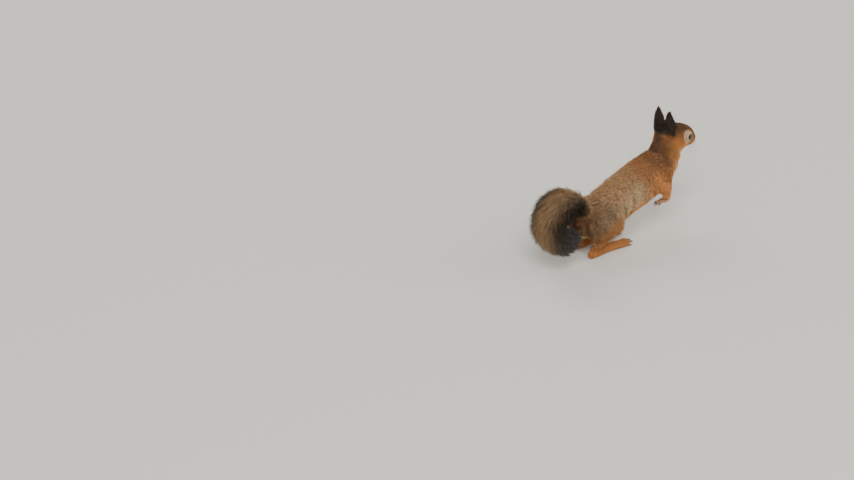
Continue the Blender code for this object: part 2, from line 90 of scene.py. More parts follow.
# How the coat of a node lies: from the middle of one node to another's, or along its own length.
LIES_BETWEEN = {
    "head": ("nose", "neck"),
    "neck": ("head", "chest"),
    "chest": ("neck", "belly"),
    "belly": ("chest", "rump"),
    "rump": ("chest", "rump"),
    "thigh": ("belly", "shank{side}"),
    "tail": ("belly", "tail_root"),
}
LIES_ALONG = {
    "upper_arm": (0, 0, -1),
    "shank": (-1, 0, -1),
    "forearm": (0, 0, -1),
    "foot": (1, 0, 0),
    "hand": (-1, 0, 0),
    "ear": (0, 0, 1),
}

# On the trunk the lies of the nodes blend over a wider stretch, in mm, than elsewhere.
TRUNK = ("neck", "chest", "belly", "rump", "thigh")
TRUNK_BLEND, OTHER_BLEND = 14, 6

# The limbs' pale side is the one towards the body. The ears' cups look this way.
LIMBS = ("shank", "upper_arm", "forearm")
EARS_OPEN = (0.96, 0.1, 0.25)

# The markings, each a mask from 0 to 1, and what a node has of them all over. The rest goes by place.
MASKS = ("grey", "warm", "pale", "dark", "bare")
COLOUR_MASKS = MASKS[:4]
NODE_MARKS = {
    "upper_arm": {"warm": 0.75, "pale": 0.12},
    "forearm": {"warm": 0.95, "pale": 0.2},
    "hand": {"warm": 0.6, "pale": 0.8},
    "shank": {"warm": 0.5},
    "foot": {"warm": 0.7, "dark": 0.25},
    "tail": {"dark": 0.2},
}

# The share of each smoothing step that a node's skin takes: little on what is thin.
SOFTNESS = {"head": 0.16, "ear": 0.03, "foot": 0.05, "hand": 0.04, "forearm": 0.15, "shank": 0.2}
TRUNK_SOFTNESS = 0.5

# Each coat piece: the nodes it grows on, its tufts, the rings of a tuft and its slot.
COAT_PIECES = (
    ("coat_head", ("head",), 18400, 2, "coat_rufous"),
    ("coat_neck", ("neck",), 8500, 3, "coat_rufous"),
    ("coat_chest", ("chest", "upper_arm"), 11900, 3, "coat_rufous"),
    ("coat_belly", ("belly",), 11900, 3, "coat_grey"),
    ("coat_rump", ("rump", "thigh", "tail"), 11900, 3, "coat_grey"),
    ("coat_legs", ("shank", "forearm"), 8500, 2, "coat_rufous"),
    ("coat_paws", ("foot", "hand"), 8000, 2, "paw"),
    ("coat_ears", ("ear",), 7500, 2, "coat_dark"),
)

# The hair on each pair of lids, and the angle off the eye's axis at which the lids end under the skin.
LID_TUFTS = 1400
LID_COAT = {"depth": 0.4 * MM, "length": 2.4 * MM, "width": 0.36 * MM, "bending": 150.0, "pale": 0.8}
LID_SKIRT = math.radians(92)

# The tail's two pieces: from and to which share of its length, and how many tufts.
TAIL_PIECES = (("coat_tail_rise", 0.0, 0.5, 11200), ("coat_tail_fall", 0.5, 1.0, 11200))
TAIL_LAST = 0.975  # the share of the plume's length past which hair runs straight on
CORE_OUT = -0.1  # where the core lies in the plume's depth, from -1 inside to 1 outside

SKIN_INSET = 0.85  # how far the skin lies inside the nodes, as a share of the coat's depth
ROOT_SINK = 0.25 * MM  # how far a tuft's root lies under the skin
FLOOR_GAP = 0.15 * MM  # the least height of a tuft's line over the floor
RIDGE = 0.45  # how high a tuft is against its width
PATCH = 0.003  # how far across a tuft's patch is on the unwrapped skin
LENGTHS, DEPTHS, WIDTHS = (0.75, 1.2), (0.7, 1.12), (0.75, 1.25)  # one tuft's against its node's
STRAY_LIFT = 0.16  # how far a stray tuft stands out, as a share of its length
LOCK = 0.55  # how far across a lock is, as a share of the mean length

# Toes and fingers: root ahead as a share of the paw, root aside in mm, degrees outwards, length, radius.
PAW_LENGTH = {"foot": 56, "hand": 15}
DIGITS = {
    "foot": (
        (0.60, -5.0, -16, 10.5, 1.9),
        (0.74, -4.2, -8, 14.0, 2.0),
        (0.76, -1.4, -2, 15.2, 2.05),
        (0.75, 1.6, 5, 14.6, 2.05),
        (0.68, 4.8, 14, 12.0, 2.0),
    ),
    "hand": (
        (0.40, -3.0, -14, 6.8, 1.45),
        (0.46, -1.1, -4, 8.2, 1.5),
        (0.46, 1.0, 5, 8.0, 1.5),
        (0.40, 2.9, 15, 6.6, 1.45),
    ),
}

# A claw's dip below ahead, the lift of its digit's root and its length in mm, and how far it curls.
CLAWS = {"foot": (-0.04, 2.4, 4.2, 0.30), "hand": (-0.22, -0.3, 3.3, 0.42)}

# Roots of the whiskers on the head's left: three rows of four on the pad, then brows and cheek.
PAD_WHISKERS = [(49.5 - 1.8 * i, 4.0 + 0.45 * i, -1.2 - 1.3 * row) for row in range(3) for i in range(4)]
OTHER_WHISKERS = [(35.5, 6.6, 9.6), (33.8, 7.4, 9.4), (24.0, 12.2, -5.0)]


def linear(red, green, blue):
    """A colour written as 0 to 255 for each channel, in the linear numbers that a shader takes."""
    share = np.array([red, green, blue]) / 255
    curved = ((share + 0.055) / 1.055) ** 2.4
    return tuple(float(value) for value in np.where(share <= 0.04045, share / 12.92, curved))


# ---- small sums ----------------------------------------------------------------------------------


def unit(vectors):
    """Vectors with a length of one."""
    vectors = np.asarray(vectors, float)
    return vectors / np.maximum(np.linalg.norm(vectors, axis=-1, keepdims=True), 1e-12)


def eased(low, high, value):
    """0 below low, 1 above high, and a smooth step between: 3 t squared less 2 t cubed."""
    share = np.clip((value - low) / (high - low), 0, 1)
    return share * share * (3 - 2 * share)


def dots(a, b):
    """The dot product of each pair of vectors."""
    return np.einsum("...i,...i->...", a, b)


def along_surface(vectors, normals):
    """The part of each vector that lies across its normal."""
    return vectors - dots(vectors, normals)[:, None] * normals


def middle(node):
    """The middle of a node's box."""
    low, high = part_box(node)
    return (np.array(low) + np.array(high)) / 2


def gap(points, node):
    """How far, in mm, points are from a node's middle."""
    return np.linalg.norm(points - middle(node), axis=1) / MM


def stem(node):
    """A node's name without its side; the tail's lengths are one."""
    name = node.removesuffix("_left").removesuffix("_right")
    return "tail" if name.startswith("tail") else name


def triangles_of(mesh):
    """The vertices of each triangle of a mesh."""
    mesh.calc_loop_triangles()
    corners = np.empty(len(mesh.loop_triangles) * 3, np.int32)
    mesh.loop_triangles.foreach_get("vertices", corners)
    return corners.reshape(-1, 3)


def numbers(items, name, width):
    """A value of every item of a collection, such as its vertices' places, as rows of numbers."""
    found = np.empty(len(items) * width, np.float32)
    items.foreach_get(name, found)
    return found.reshape(-1, width).astype(float)


def areas(vertices, triangles):
    """The area of each triangle."""
    corner = vertices[triangles]
    return np.linalg.norm(np.cross(corner[:, 1] - corner[:, 0], corner[:, 2] - corner[:, 0]), axis=1) / 2


def scattered(vertices, triangles, count, rng, weight=1.0):
    """Random places, even over the triangles' area times a weight: each one's triangle and corner shares."""
    share = np.cumsum(areas(vertices, triangles) * weight)
    where = (np.arange(count) + rng.random(count)) / count
    picked = np.minimum(np.searchsorted(share / share[-1], where), len(triangles) - 1)
    a, b = rng.random((2, count))
    over = a + b > 1
    a, b = np.where(over, 1 - a, a), np.where(over, 1 - b, b)
    return picked, np.stack([1 - a - b, a, b], 1)


def relaxed(values, edges, rounds, share):
    """Each vertex goes a share of the way to the mean of its neighbours, for so many rounds."""
    count = len(values)
    neighbours = np.maximum(np.bincount(edges.ravel(), minlength=count), 1)[:, None]
    for _ in range(rounds):
        total = np.empty_like(values)
        for axis in range(values.shape[1]):
            column = values[:, axis]
            total[:, axis] = np.bincount(edges[:, 0], column[edges[:, 1]], count)
            total[:, axis] += np.bincount(edges[:, 1], column[edges[:, 0]], count)
        values = values + share * (total / neighbours - values)
    return values


# ---- the frame, read as numbers ------------------------------------------------------------------


def node_points():
    """The flesh nodes' names, and random points on each, about one for every 7 square mm."""
    rng = np.random.default_rng(SEED)
    names, runs = [], []
    for node in sorted(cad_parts):
        if stem(node) not in COAT:
            continue
        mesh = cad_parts[node].data
        vertices, triangles = numbers(mesh.vertices, "co", 3), triangles_of(mesh)
        count = max(150, int(areas(vertices, triangles).sum() / (7 * MM**2)))
        picked, shares = scattered(vertices, triangles, count, rng)
        names.append(node)
        runs.append(np.einsum("ij,ijk->ik", shares, vertices[triangles[picked]]))
    return names, runs


NODES, NODE_POINTS = node_points()


def node_shares(points, fade=3.5 * MM):
    """How much each node counts at points: a bell curve of how much farther it is than the nearest."""
    cloud = np.concatenate(NODE_POINTS).astype(np.float32)
    starts = np.cumsum([0] + [len(run) for run in NODE_POINTS[:-1]])
    squares = (cloud**2).sum(1)
    found = []
    for part in np.array_split(points.astype(np.float32), max(1, len(points) // 4000)):
        gaps = (part**2).sum(1)[:, None] + squares - 2 * part @ cloud.T
        found.append(np.minimum.reduceat(gaps, starts, axis=1))
    away = np.sqrt(np.maximum(np.concatenate(found), 0))
    beyond = away - away.min(axis=1, keepdims=True)
    share = np.exp(-((beyond / fade) ** 2))
    return share / share.sum(axis=1, keepdims=True)


def share_of(shares, *kinds):
    """How much the nodes of these kinds count together."""
    return sum(shares[:, i] for i, node in enumerate(NODES) if stem(node) in kinds)


def lie_of(node):
    """The way a node's hair points: between two nodes' middles, or along the node, towards a hint."""
    kind = stem(node)
    if kind in LIES_BETWEEN:
        start, end = LIES_BETWEEN[kind]
        return unit(middle(end.format(side=node[len(kind) :])) - middle(start))
    points = NODE_POINTS[NODES.index(node)]
    long = np.linalg.svd(points - points.mean(0), full_matrices=False)[2][0]
    return long * np.sign(long @ np.asarray(LIES_ALONG[kind], float))


def head_frame():
    """The head's ahead, left and up, and the back of the skull, from the eyes and the nose."""
    eyes = (middle("eye_left") + middle("eye_right")) / 2
    left = unit(middle("eye_left") - middle("eye_right"))
    to_nose = unit(middle("nose") - eyes)
    above = np.cross(to_nose, left)
    dip = math.atan2(EYE_ON_HEAD[2] - NOSE_ON_HEAD[2], NOSE_ON_HEAD[0] - EYE_ON_HEAD[0])
    ahead = math.cos(dip) * to_nose + math.sin(dip) * above
    up = np.cross(ahead, left)
    axes = np.array([ahead, left, up])
    back = eyes - np.array([EYE_ON_HEAD[0], 0, EYE_ON_HEAD[2]]) * MM @ axes
    return axes, back


HEAD_AXES, HEAD_BACK = head_frame()


def on_head(points):
    """Places given ahead, aside and up on the head in mm, as places of the model."""
    return HEAD_BACK + np.asarray(points, float) * MM @ HEAD_AXES


def head_places(points):
    """The other way round: ahead, aside and up in mm."""
    return (points - HEAD_BACK) @ HEAD_AXES.T / MM


class Plume:
    """The tail's solids, read by turning about the middle of their arch.

    Each turn has a mid radius, half a depth, a middle across and half a width, smoothed along the tail.
    """

    FIRST, LAST = math.radians(-14), math.radians(303)

    def __init__(self):
        points = np.concatenate([run for name, run in zip(NODES, NODE_POINTS) if stem(name) == "tail"])
        low, high = points.min(0), points.max(0)
        self.centre = (low + high) / 2
        ahead, above = points[:, 0] - self.centre[0], points[:, 2] - self.centre[2]
        turn = np.mod(np.arctan2(above, ahead) + math.pi / 5, 2 * math.pi) - math.pi / 5
        radius = np.hypot(ahead, above)
        edges = np.linspace(self.FIRST, self.LAST, 25)
        rows = []
        for start, end in zip(edges[:-1], edges[1:]):
            inside = (turn >= start) & (turn < end)
            near, far = np.percentile(radius[inside], (2, 98))
            right, left = np.percentile(points[inside, 1], (2, 98))
            rows.append(((near + far) / 2, (far - near) / 2, (right + left) / 2, (left - right) / 2))
        rows = np.array(rows)
        for _ in range(2):
            rows = np.vstack([rows[:1], (rows[:-2] + 2 * rows[1:-1] + rows[2:]) / 4, rows[-1:]])
        self.turns, self.rows = (edges[:-1] + edges[1:]) / 2, rows

    def at(self, share):
        """Turn, mid radius, half depth, middle across and half width at shares of the tail's length."""
        turn = self.FIRST + (self.LAST - self.FIRST) * share
        return (turn, *(np.interp(turn, self.turns, column) for column in self.rows.T))

    def place(self, share, across, out):
        """A place in the plume: across and out run from -1 to 1 over its width and its depth."""
        turn, radius, depth, mid, width = self.at(share)
        reach = radius + out * depth
        ahead, above = self.centre[0] + reach * np.cos(turn), self.centre[2] + reach * np.sin(turn)
        return np.stack([ahead, mid + across * width, above], axis=-1)


# ---- meshes --------------------------------------------------------------------------------------


def circle(sides, first, second):
    """Places round a unit circle that two vectors span, or round one for each pair of vectors."""
    turn = np.linspace(0, 2 * math.pi, sides, endpoint=False)[:, None]
    return np.cos(turn) * np.asarray(first)[..., None, :] + np.sin(turn) * np.asarray(second)[..., None, :]


def lofted(grid):
    """Vertices and faces over rows of equal rings, with both ends drawn to the middle of their ring."""
    rows, columns = grid.shape[:2]
    vertices = np.concatenate([grid.reshape(-1, 3), grid[:1].mean(1), grid[-1:].mean(1)])
    ring = np.arange(columns)
    after = np.roll(ring, -1)
    base = (np.arange(rows - 1) * columns)[:, None]
    quads = np.stack([base + ring, base + after, base + columns + after, base + columns + ring], -1)
    first, last, below = rows * columns, rows * columns + 1, (rows - 1) * columns
    start = np.stack([np.full(columns, first), after, ring], -1)
    end = np.stack([np.full(columns, last), below + ring, below + after], -1)
    return vertices, quads.reshape(-1, 4).tolist() + start.tolist() + end.tolist()


def looped(grid):
    """Vertices and faces over a grid that closes both ways, as a ring does."""
    rows, columns = grid.shape[:2]
    row, column = np.meshgrid(np.arange(rows), np.arange(columns), indexing="ij")
    index = row * columns + column
    down, along = np.roll(index, -1, axis=0), np.roll(index, -1, axis=1)
    both = np.roll(down, -1, axis=1)
    return grid.reshape(-1, 3), np.stack([index, along, both, down], -1).reshape(-1, 4).tolist()


def merged(parts):
    """Several lots of vertices and faces as one."""
    vertices, faces, base = [], [], 0
    for points, corners in parts:
        vertices.append(points)
        faces += [[base + i for i in face] for face in corners]
        base += len(points)
    return np.concatenate(vertices), faces


@contextmanager
def edited(mesh):
    """A mesh opened for editing, and written back at the end."""
    work = bmesh.new()
    work.from_mesh(mesh)
    yield work
    work.to_mesh(mesh)
    work.free()


def linked(name, data):
    """A new object at the origin, in the scene."""
    obj = bpy.data.objects.new(name, data)
    bpy.context.scene.collection.objects.link(obj)
    return obj


def new_object(name, vertices, faces):
    """An object at the origin whose faces point outwards."""
    mesh = bpy.data.meshes.new(name)
    mesh.from_pydata(np.asarray(vertices).tolist(), [], faces)
    with edited(mesh) as work:
        bmesh.ops.recalc_face_normals(work, faces=work.faces)
    return linked(name, mesh)


def move(mesh, points):
    """Puts every vertex at its new place."""
    mesh.vertices.foreach_set("co", points.astype(np.float32).ravel())
    mesh.update()


def finished(obj, material, slot, *nodes):
    """Gives a piece its material, rides it on the body and stands it for its nodes. The slot is not used."""
    obj.data.materials.clear()
    obj.data.materials.append(material)
    obj.data.shade_smooth()
    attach(obj, "root")
    if nodes:
        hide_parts(*nodes)
    return obj


def store(mesh, name, values, kind="FLOAT"):
    """Keeps a number or a vector on every vertex."""
    attribute = mesh.attributes.get(name) or mesh.attributes.new(name, kind, "POINT")
    field = "value" if kind == "FLOAT" else "vector"
    attribute.data.foreach_set(field, np.ascontiguousarray(values, np.float32).ravel())


def stored(mesh, name):
    """Reads back what store kept."""
    attribute = mesh.attributes[name]
    if attribute.data_type == "FLOAT":
        return numbers(attribute.data, "value", 1)[:, 0]
    return numbers(attribute.data, "vector", 3)


def voxelled(obj, size):
    """The object as one even surface of voxels of this size, after its other modifiers."""
    modifier = obj.modifiers.new("voxels", "REMESH")
    modifier.mode = "VOXEL"
    modifier.voxel_size = size
    bpy.context.view_layer.update()
    graph = bpy.context.evaluated_depsgraph_get()
    mesh = bpy.data.meshes.new_from_object(obj.evaluated_get(graph))
    obj.modifiers.clear()
    obj.data = mesh
    return obj


def edges_of(mesh):
    """The two vertices of each edge."""
    found = np.empty(len(mesh.edges) * 2, np.int32)
    mesh.edges.foreach_get("vertices", found)
    return found.reshape(-1, 2)


def keep_largest(obj):
    """Drops all but the largest body. Neighbours share the lowest label in reach until none changes."""
    mesh = obj.data
    edges = edges_of(mesh)
    label = np.arange(len(mesh.vertices))
    while True:
        low = np.minimum(label[edges[:, 0]], label[edges[:, 1]])
        new = label.copy()
        np.minimum.at(new, edges[:, 0], low)
        np.minimum.at(new, edges[:, 1], low)
        new = new[new]
        if np.array_equal(new, label):
            break
        label = new
    loose = np.flatnonzero(label != np.bincount(label).argmax())
    with edited(mesh) as work:
        work.verts.ensure_lookup_table()
        bmesh.ops.delete(work, geom=[work.verts[i] for i in loose], context="VERTS")


# ---- shaders -------------------------------------------------------------------------------------


class Value:
    """A number in a shader. Sums and products of it add their Math nodes."""

    def __init__(self, shader, socket):
        self.shader, self.socket = shader, socket

    def math(self, operation, *others):
        inputs = dict(enumerate((self, *others)))
        return Value(self.shader, self.shader.node("Math", {"operation": operation}, inputs).outputs[0])

    def __add__(self, other):
        return self.math("ADD", other)

    __radd__ = __add__

    def __mul__(self, other):
        return self.math("MULTIPLY", other)

    def __sub__(self, other):
        return self.math("SUBTRACT", other)

    def __rsub__(self, other):
        return (self * -1.0) + other

    def eased(self, low, high):
        """0 below low and 1 above high, with a smooth step between."""
        settings = {"interpolation_type": "SMOOTHSTEP"}
        node = self.shader.node("MapRange", settings, {"Value": self, "From Min": low, "From Max": high})
        return Value(self.shader, node.outputs["Result"])


class Shader:
    """A material in the making, with one Principled shader."""

    def __init__(self, name, **constants):
        self.material = bpy.data.materials.new(name)
        self.material.use_nodes = True
        self.tree = self.material.node_tree
        self.surface = self.tree.nodes["Principled BSDF"]
        for socket, value in constants.items():
            self.surface.inputs[socket.replace("_", " ")].default_value = value

    def node(self, kind, settings=None, inputs=None):
        """Any node: its settings first, then the values or links of its sockets."""
        node = self.tree.nodes.new("ShaderNode" + kind)
        for name, value in (settings or {}).items():
            setattr(node, name, value)
        for name, value in (inputs or {}).items():
            self.feed(node.inputs[name], value)
        return node

    def feed(self, socket, value):
        """Links a socket, or gives it a value."""
        if isinstance(value, Value):
            self.tree.links.new(value.socket, socket)
        elif isinstance(value, bpy.types.NodeSocket):
            self.tree.links.new(value, socket)
        else:
            socket.default_value = value

    def attribute(self, name):
        """A number that the mesh carries."""
        return Value(self, self.node("Attribute", {"attribute_name": name}).outputs["Fac"])

    def object_place(self):
        """The place on the object."""
        return self.node("TexCoord").outputs["Object"]

    def noise(self, scale, detail=3.0):
        """Noise over Object coordinates, with its features about one part in scale of a metre."""
        inputs = {"Vector": self.object_place(), "Scale": scale, "Detail": detail}
        return Value(self, self.node("TexNoise", None, inputs).outputs["Fac"])

    def mix(self, factor, *ends):
        """A colour between two colours, each a socket or three numbers."""
        first, second = (end if isinstance(end, bpy.types.NodeSocket) else (*end, 1.0) for end in ends)
        node = self.node("Mix", {"data_type": "RGBA"}, {0: factor, 6: first, 7: second})
        return node.outputs[2]

    def scaled(self, colour, factor):
        """A colour made brighter or darker by a factor."""
        node = self.node("VectorMath", {"operation": "SCALE"}, {0: colour, "Scale": factor})
        return node.outputs[0]

    def bump(self, height, distance, strength):
        """Relief on the surface, with its depth as a distance."""
        inputs = {"Height": height, "Distance": distance, "Strength": strength}
        self.feed(self.surface.inputs["Normal"], self.node("Bump", None, inputs).outputs["Normal"])

    def painted(self, colour, roughness):
        """The material, with its colour and roughness."""
        self.feed(self.surface.inputs["Base Color"], colour)
        self.feed(self.surface.inputs["Roughness"], roughness)
        return self.material


def marked(shader, colours):
    """The coat's markings: brown, then grey, warm, pale and dark laid over it by their masks."""
    colour = colours.brown
    for mask in COLOUR_MASKS:
        colour = shader.mix(shader.attribute(mask), colour, getattr(colours, mask))
    return colour


def coat_material(colours):
    """Hair that is dark at its root and full in its middle. Some has a dark tip, as banded fur has."""
    shader = Shader("coat", Specular_IOR_Level=0.3, Sheen_Weight=0.1, Sheen_Roughness=0.5)
    along, chance = shader.attribute("along"), shader.attribute("chance")
    patches = shader.noise(90.0, 2.0)
    light = along.eased(0.0, 0.7) * 0.55 + 0.62
    light = light * (chance * 0.4 + 0.8) * (patches * 0.4 + 0.8)
    banded = along.eased(0.7, 1.0) * chance.eased(0.6, 0.7) * 0.5
    return shader.painted(shader.scaled(marked(shader, colours), light * (1.0 - banded)), 0.62 + chance * 0.2)


def skin_material(colours):
    """The same markings under the coat, darker, with short hair as bump. Bare places are pink, with painted
    shade in their creases.
    """
    shader = Shader("skin", Specular_IOR_Level=0.35, Subsurface_Weight=0.04, Subsurface_Scale=MM)
    grain = shader.noise(1500.0, 4.0)
    creases = shader.noise(420.0, 3.0)
    coat = shader.scaled(marked(shader, colours), grain * 0.4 + 0.5)
    # Bare skin is painted darker where the creases sink in the bump, as painted shade.
    skin = shader.scaled(colours.bare, creases * 0.5 + 0.75)
    bare = shader.attribute("bare")
    shader.bump(grain + creases * 0.7, 0.0004, 0.6)
    return shader.painted(shader.mix(bare, coat, skin), 0.8 - bare * 0.25)


def tail_material(colours):
    """Brown near the root and along the middle, nearly black at the tips and fringes, with painted shade
    underneath.
    """
    shader = Shader("tail_hair", Specular_IOR_Level=0.3, Sheen_Weight=0.1, Sheen_Roughness=0.5)
    along, chance = shader.attribute("along"), shader.attribute("chance")
    edge, start = shader.attribute("edge"), shader.attribute("start")
    patches = shader.noise(60.0, 2.0)
    # Darkness comes from the hair's real dark fringes and tips, and from painted shade on the inner side of
    # the arch.
    darkness = along * 0.35 + edge * 0.85 + (chance - 0.5) * 0.6 + (patches - 0.5) * 0.5 - start * 0.9
    colour = shader.mix(darkness.eased(0.3, 1.1), colours.tail_brown, colours.tail_black)
    light = (along.eased(0.0, 0.5) * 0.4 + 0.65) * (chance * 0.5 + 0.75)
    return shader.painted(shader.scaled(colour, light), 0.6 + chance * 0.2)


def eye_material(colours):
    """A black pupil in an iris that is nearly as dark, under a clear wet surface."""
    shader = Shader("eye", Specular_IOR_Level=0.45)
    away = shader.attribute("away")
    fibres = shader.noise(2600.0, 3.0)
    iris = shader.scaled(colours.iris, fibres * 0.9 + 0.55)
    colour = shader.mix(away.eased(0.16, 0.2), (0.003, 0.0025, 0.002), iris)
    return shader.painted(shader.mix(away.eased(0.3, 0.36), colour, (0.02, 0.014, 0.01)), 0.06 + away * 0.1)


def lid_material(colours):
    """Dark, moist margin; outside it the pale skin that the ring of pale hair grows on."""
    shader = Shader("lids", Specular_IOR_Level=0.5)
    grain = shader.noise(1800.0, 3.0)
    rim = shader.attribute("rim")
    pale = shader.scaled(colours.pale, grain * 0.5 + 0.6)
    shader.bump(grain, 0.0002, 0.5)
    return shader.painted(shader.mix(rim.eased(0.35, 0.7), pale, colours.nose), 0.75 - rim * 0.35)


def nose_material(colours):
    """Fine pebbles over dark, moist skin, lighter on their tops and darker in the grooves as painted light
    and shade.
    """
    shader = Shader("nose", Specular_IOR_Level=0.5)
    inputs = {"Vector": shader.object_place(), "Scale": 3200.0}
    pebbles = Value(shader, shader.node("TexVoronoi", None, inputs).outputs["Distance"])
    shader.bump(1.0 - pebbles, 0.0002, 0.6)
    # The pad is painted lighter on each pebble's top and darker towards its edge, as painted light and shade
    # on the relief.
    return shader.painted(shader.scaled(colours.nose, 1.2 - pebbles * 0.7), 0.35 + pebbles * 0.3)


def claw_material(colours):
    """Dark, mottled horn, paler at the root."""
    shader = Shader("claw", Specular_IOR_Level=0.5)
    along, mottle = shader.attribute("along"), shader.noise(1700.0, 3.0)
    colour = shader.mix(along.eased(0.05, 0.6), 2.2 * colours.horn, colours.horn)
    shader.bump(mottle, 0.0001, 0.4)
    return shader.painted(shader.scaled(colour, mottle * 0.7 + 0.65), 0.28 + mottle * 0.2)


def whisker_material(colours):
    """Black bristle that fades to brown at its tip."""
    shader = Shader("whisker", Specular_IOR_Level=0.5)
    along = shader.attribute("along")
    return shader.painted(shader.mix(along, (0.006, 0.005, 0.004), colours.iris), 0.35 + along * 0.15)


# ---- the skin ------------------------------------------------------------------------------------


def body_of_flesh(settings):
    """All flesh nodes but the tail, and the eyes' balls, swollen until they meet, as one voxel surface."""
    parts = []
    for node in [n for n in NODES if stem(n) != "tail"] + [f"eye_{name}" for name, _ in SIDES]:
        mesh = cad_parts[node].data
        parts.append((numbers(mesh.vertices, "co", 3), triangles_of(mesh).tolist()))
    obj = new_object("skin", *merged(parts))
    with edited(obj.data) as work:
        bmesh.ops.remove_doubles(work, verts=work.verts, dist=1e-6)
        bmesh.ops.recalc_face_normals(work, faces=work.faces)
    swell = obj.modifiers.new("swell", "DISPLACE")
    swell.mid_level = 0.0
    swell.strength = settings.seam_closing
    return voxelled(obj, settings.first_cell)


def eye_gap(points):
    """How far, in mm, points are from the middle of the nearer eye."""
    return np.min([gap(points, f"eye_{name}") for name, _ in SIDES], axis=0)


def coat_numbers(shares, points):
    """Depth, length and width of the coat at points, in metres. All shrink along the face to the nose."""
    table = np.array([COAT[stem(node)] for node in NODES]) * MM
    depth, length, width = (shares @ table).T
    face = share_of(shares, "head") * eased(18, 47, head_places(points)[:, 0])
    near_eye = 1 - eased(4.6, 8.0, eye_gap(points))
    depth = depth * (1 - 0.72 * face) * (1 - 0.75 * near_eye)
    return depth, length * (1 - 0.62 * face) * (1 - 0.4 * near_eye), width * (1 - 0.35 * face)


def core_radius(share):
    """The radius of the tail under its hair, from root to tip."""
    return (5.2 - 3.4 * share) * MM


def tail_core(plume):
    """The tail under its hair: a tapering tube that starts inside the rump and follows the plume."""
    share = np.linspace(0.0, 0.93, 46)
    line = plume.place(share, np.zeros_like(share), np.full_like(share, CORE_OUT))
    rump_low, rump_high = (np.array(corner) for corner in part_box("rump"))
    start = rump_low + (rump_high - rump_low) * (0.3, 0.5, 0.55)
    line = np.vstack([start, (start + line[0]) / 2, line])
    radius = np.concatenate([[6.0 * MM, 6.0 * MM], core_radius(share)])
    aside = np.tile([0.0, 1.0, 0.0], (len(line), 1))
    over = np.cross(unit(np.gradient(line, axis=0)), aside)
    return lofted(line[:, None] + radius[:, None, None] * circle(20, aside, over))


def ruffle(points, size):
    """A smooth wander between -1.5 and 1.5 over the body, with features of about this size."""
    place = points / size
    wander = np.sin(place @ (1.7, 0.9, 1.3)) * np.sin(place @ (-0.8, 1.6, 1.1) + 1.3)
    return wander + 0.5 * np.sin(place @ (2.9, -2.3, 3.1))


def facing_under(normals, shares):
    """How far places face the under side: the ground, or on a limb the body, across the node's lie."""
    under = []
    for node in NODES:
        inner = (0, -1 if node.endswith("left") else 1, 0)
        down = np.array(inner if stem(node) in LIMBS else (0, 0, -1), float)
        under.append(unit(down - (down @ lie_of(node)) * lie_of(node)))
    return dots(normals, unit(shares @ np.array(under)))


def ear_marks(points, normals, shares):
    """How far points are up an ear, which darkens, and how far they are in its cup."""
    up = 0
    for name, _ in SIDES:
        ear = f"ear_{name}"
        low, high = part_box(ear)
        height = (points[:, 2] - low.z) / (high.z - low.z)
        up = up + eased(0.1, 0.5, shares[:, NODES.index(ear)]) * eased(-0.15, 0.1, height)
    return up, share_of(shares, "ear") * eased(0.25, 0.7, normals @ unit(EARS_OPEN))


def head_marks(points, normals, shares, below):
    """The markings of the head, the ears, the throat and the nape, by the place on the head."""
    ahead, aside, up = head_places(points).T
    ahead = ahead + 0.8 * ruffle(points, 5 * MM)
    head, neck, ears, chest = (share_of(shares, kind) for kind in ("head", "neck", "ear", "chest"))
    ear_up, ear_cup = ear_marks(points, normals, shares)
    ring = head * (1 - eased(5.3, 7.2, eye_gap(points) + 0.4 * ruffle(points, 4 * MM)))
    behind = 1 - eased(5, 17, ahead)
    cheek = head * eased(3, 8, np.abs(aside)) * (1 - eased(-2, 4, up)) * (1 - eased(38, 46, ahead))
    throat = (neck + 0.8 * chest + 0.6 * head) * eased(-0.15, 0.4, below)
    chin = head * eased(0.45, 0.85, below) * (1 - eased(-5, -2, up))
    snout = head * eased(40, 48, ahead) * eased(0.5, 2.5, up)
    crown = head * (1 - behind) * eased(4, 10, up) * (1 - eased(30, 40, ahead))
    poll = head * behind * eased(5, 9, up)
    nape = (neck + ears + head * behind) * (1 - eased(-0.5, 0.15, below))
    dark = ear_up * (0.98 - 0.6 * ear_cup) + 0.65 * nape + 0.4 * snout + 0.6 * crown + 0.5 * poll
    return {
        "warm": 0.45 * cheek + 0.7 * throat,
        "pale": 0.75 * ring + chin + 0.3 * throat,
        "dark": dark * (1 - ring),
        "bare": 0.7 * ear_cup * (1 - 0.5 * ear_up),
    }


def trunk_marks(points, shares, below):
    """The markings of the trunk and the thighs, by the place along the trunk and how far it faces down.

    Along runs from 0 at the middle of the rump to 1 at the middle of the chest.
    """
    spine = middle("chest") - middle("rump")
    along = (points - middle("rump")) @ spine / (spine @ spine) + 0.05 * ruffle(points, 12 * MM)
    chest, belly, rump, thigh = (share_of(shares, kind) for kind in ("chest", "belly", "rump", "thigh"))
    trunk = chest + belly + rump + thigh
    loin = eased(-0.15, 0.2, along) * (1 - eased(0.62, 1.05, along))
    flank = trunk * loin * (1 - eased(0.25, 0.5, below)) * (1 - 0.55 * eased(0.35, 0.95, -below))
    stripe = trunk * eased(0.2, 0.42, below) * (1 - eased(0.5, 0.66, below)) * eased(0.1, 0.3, along)
    haunch = (rump + thigh) * (1 - eased(0.05, 0.5, along))
    knee = thigh * eased(0.12, 0.34, along)
    return {
        "grey": flank + 0.35 * haunch * (1 - knee),
        "warm": 0.8 * stripe + 0.3 * knee + 0.22 * chest * eased(-0.6, 0.2, below),
        "pale": trunk * eased(0.52, 0.72, below) + 0.3 * flank * eased(-0.3, 0.2, below),
        "dark": 0.5 * haunch * (1 - eased(0.3, 0.6, below)) + 0.1 * knee,
    }


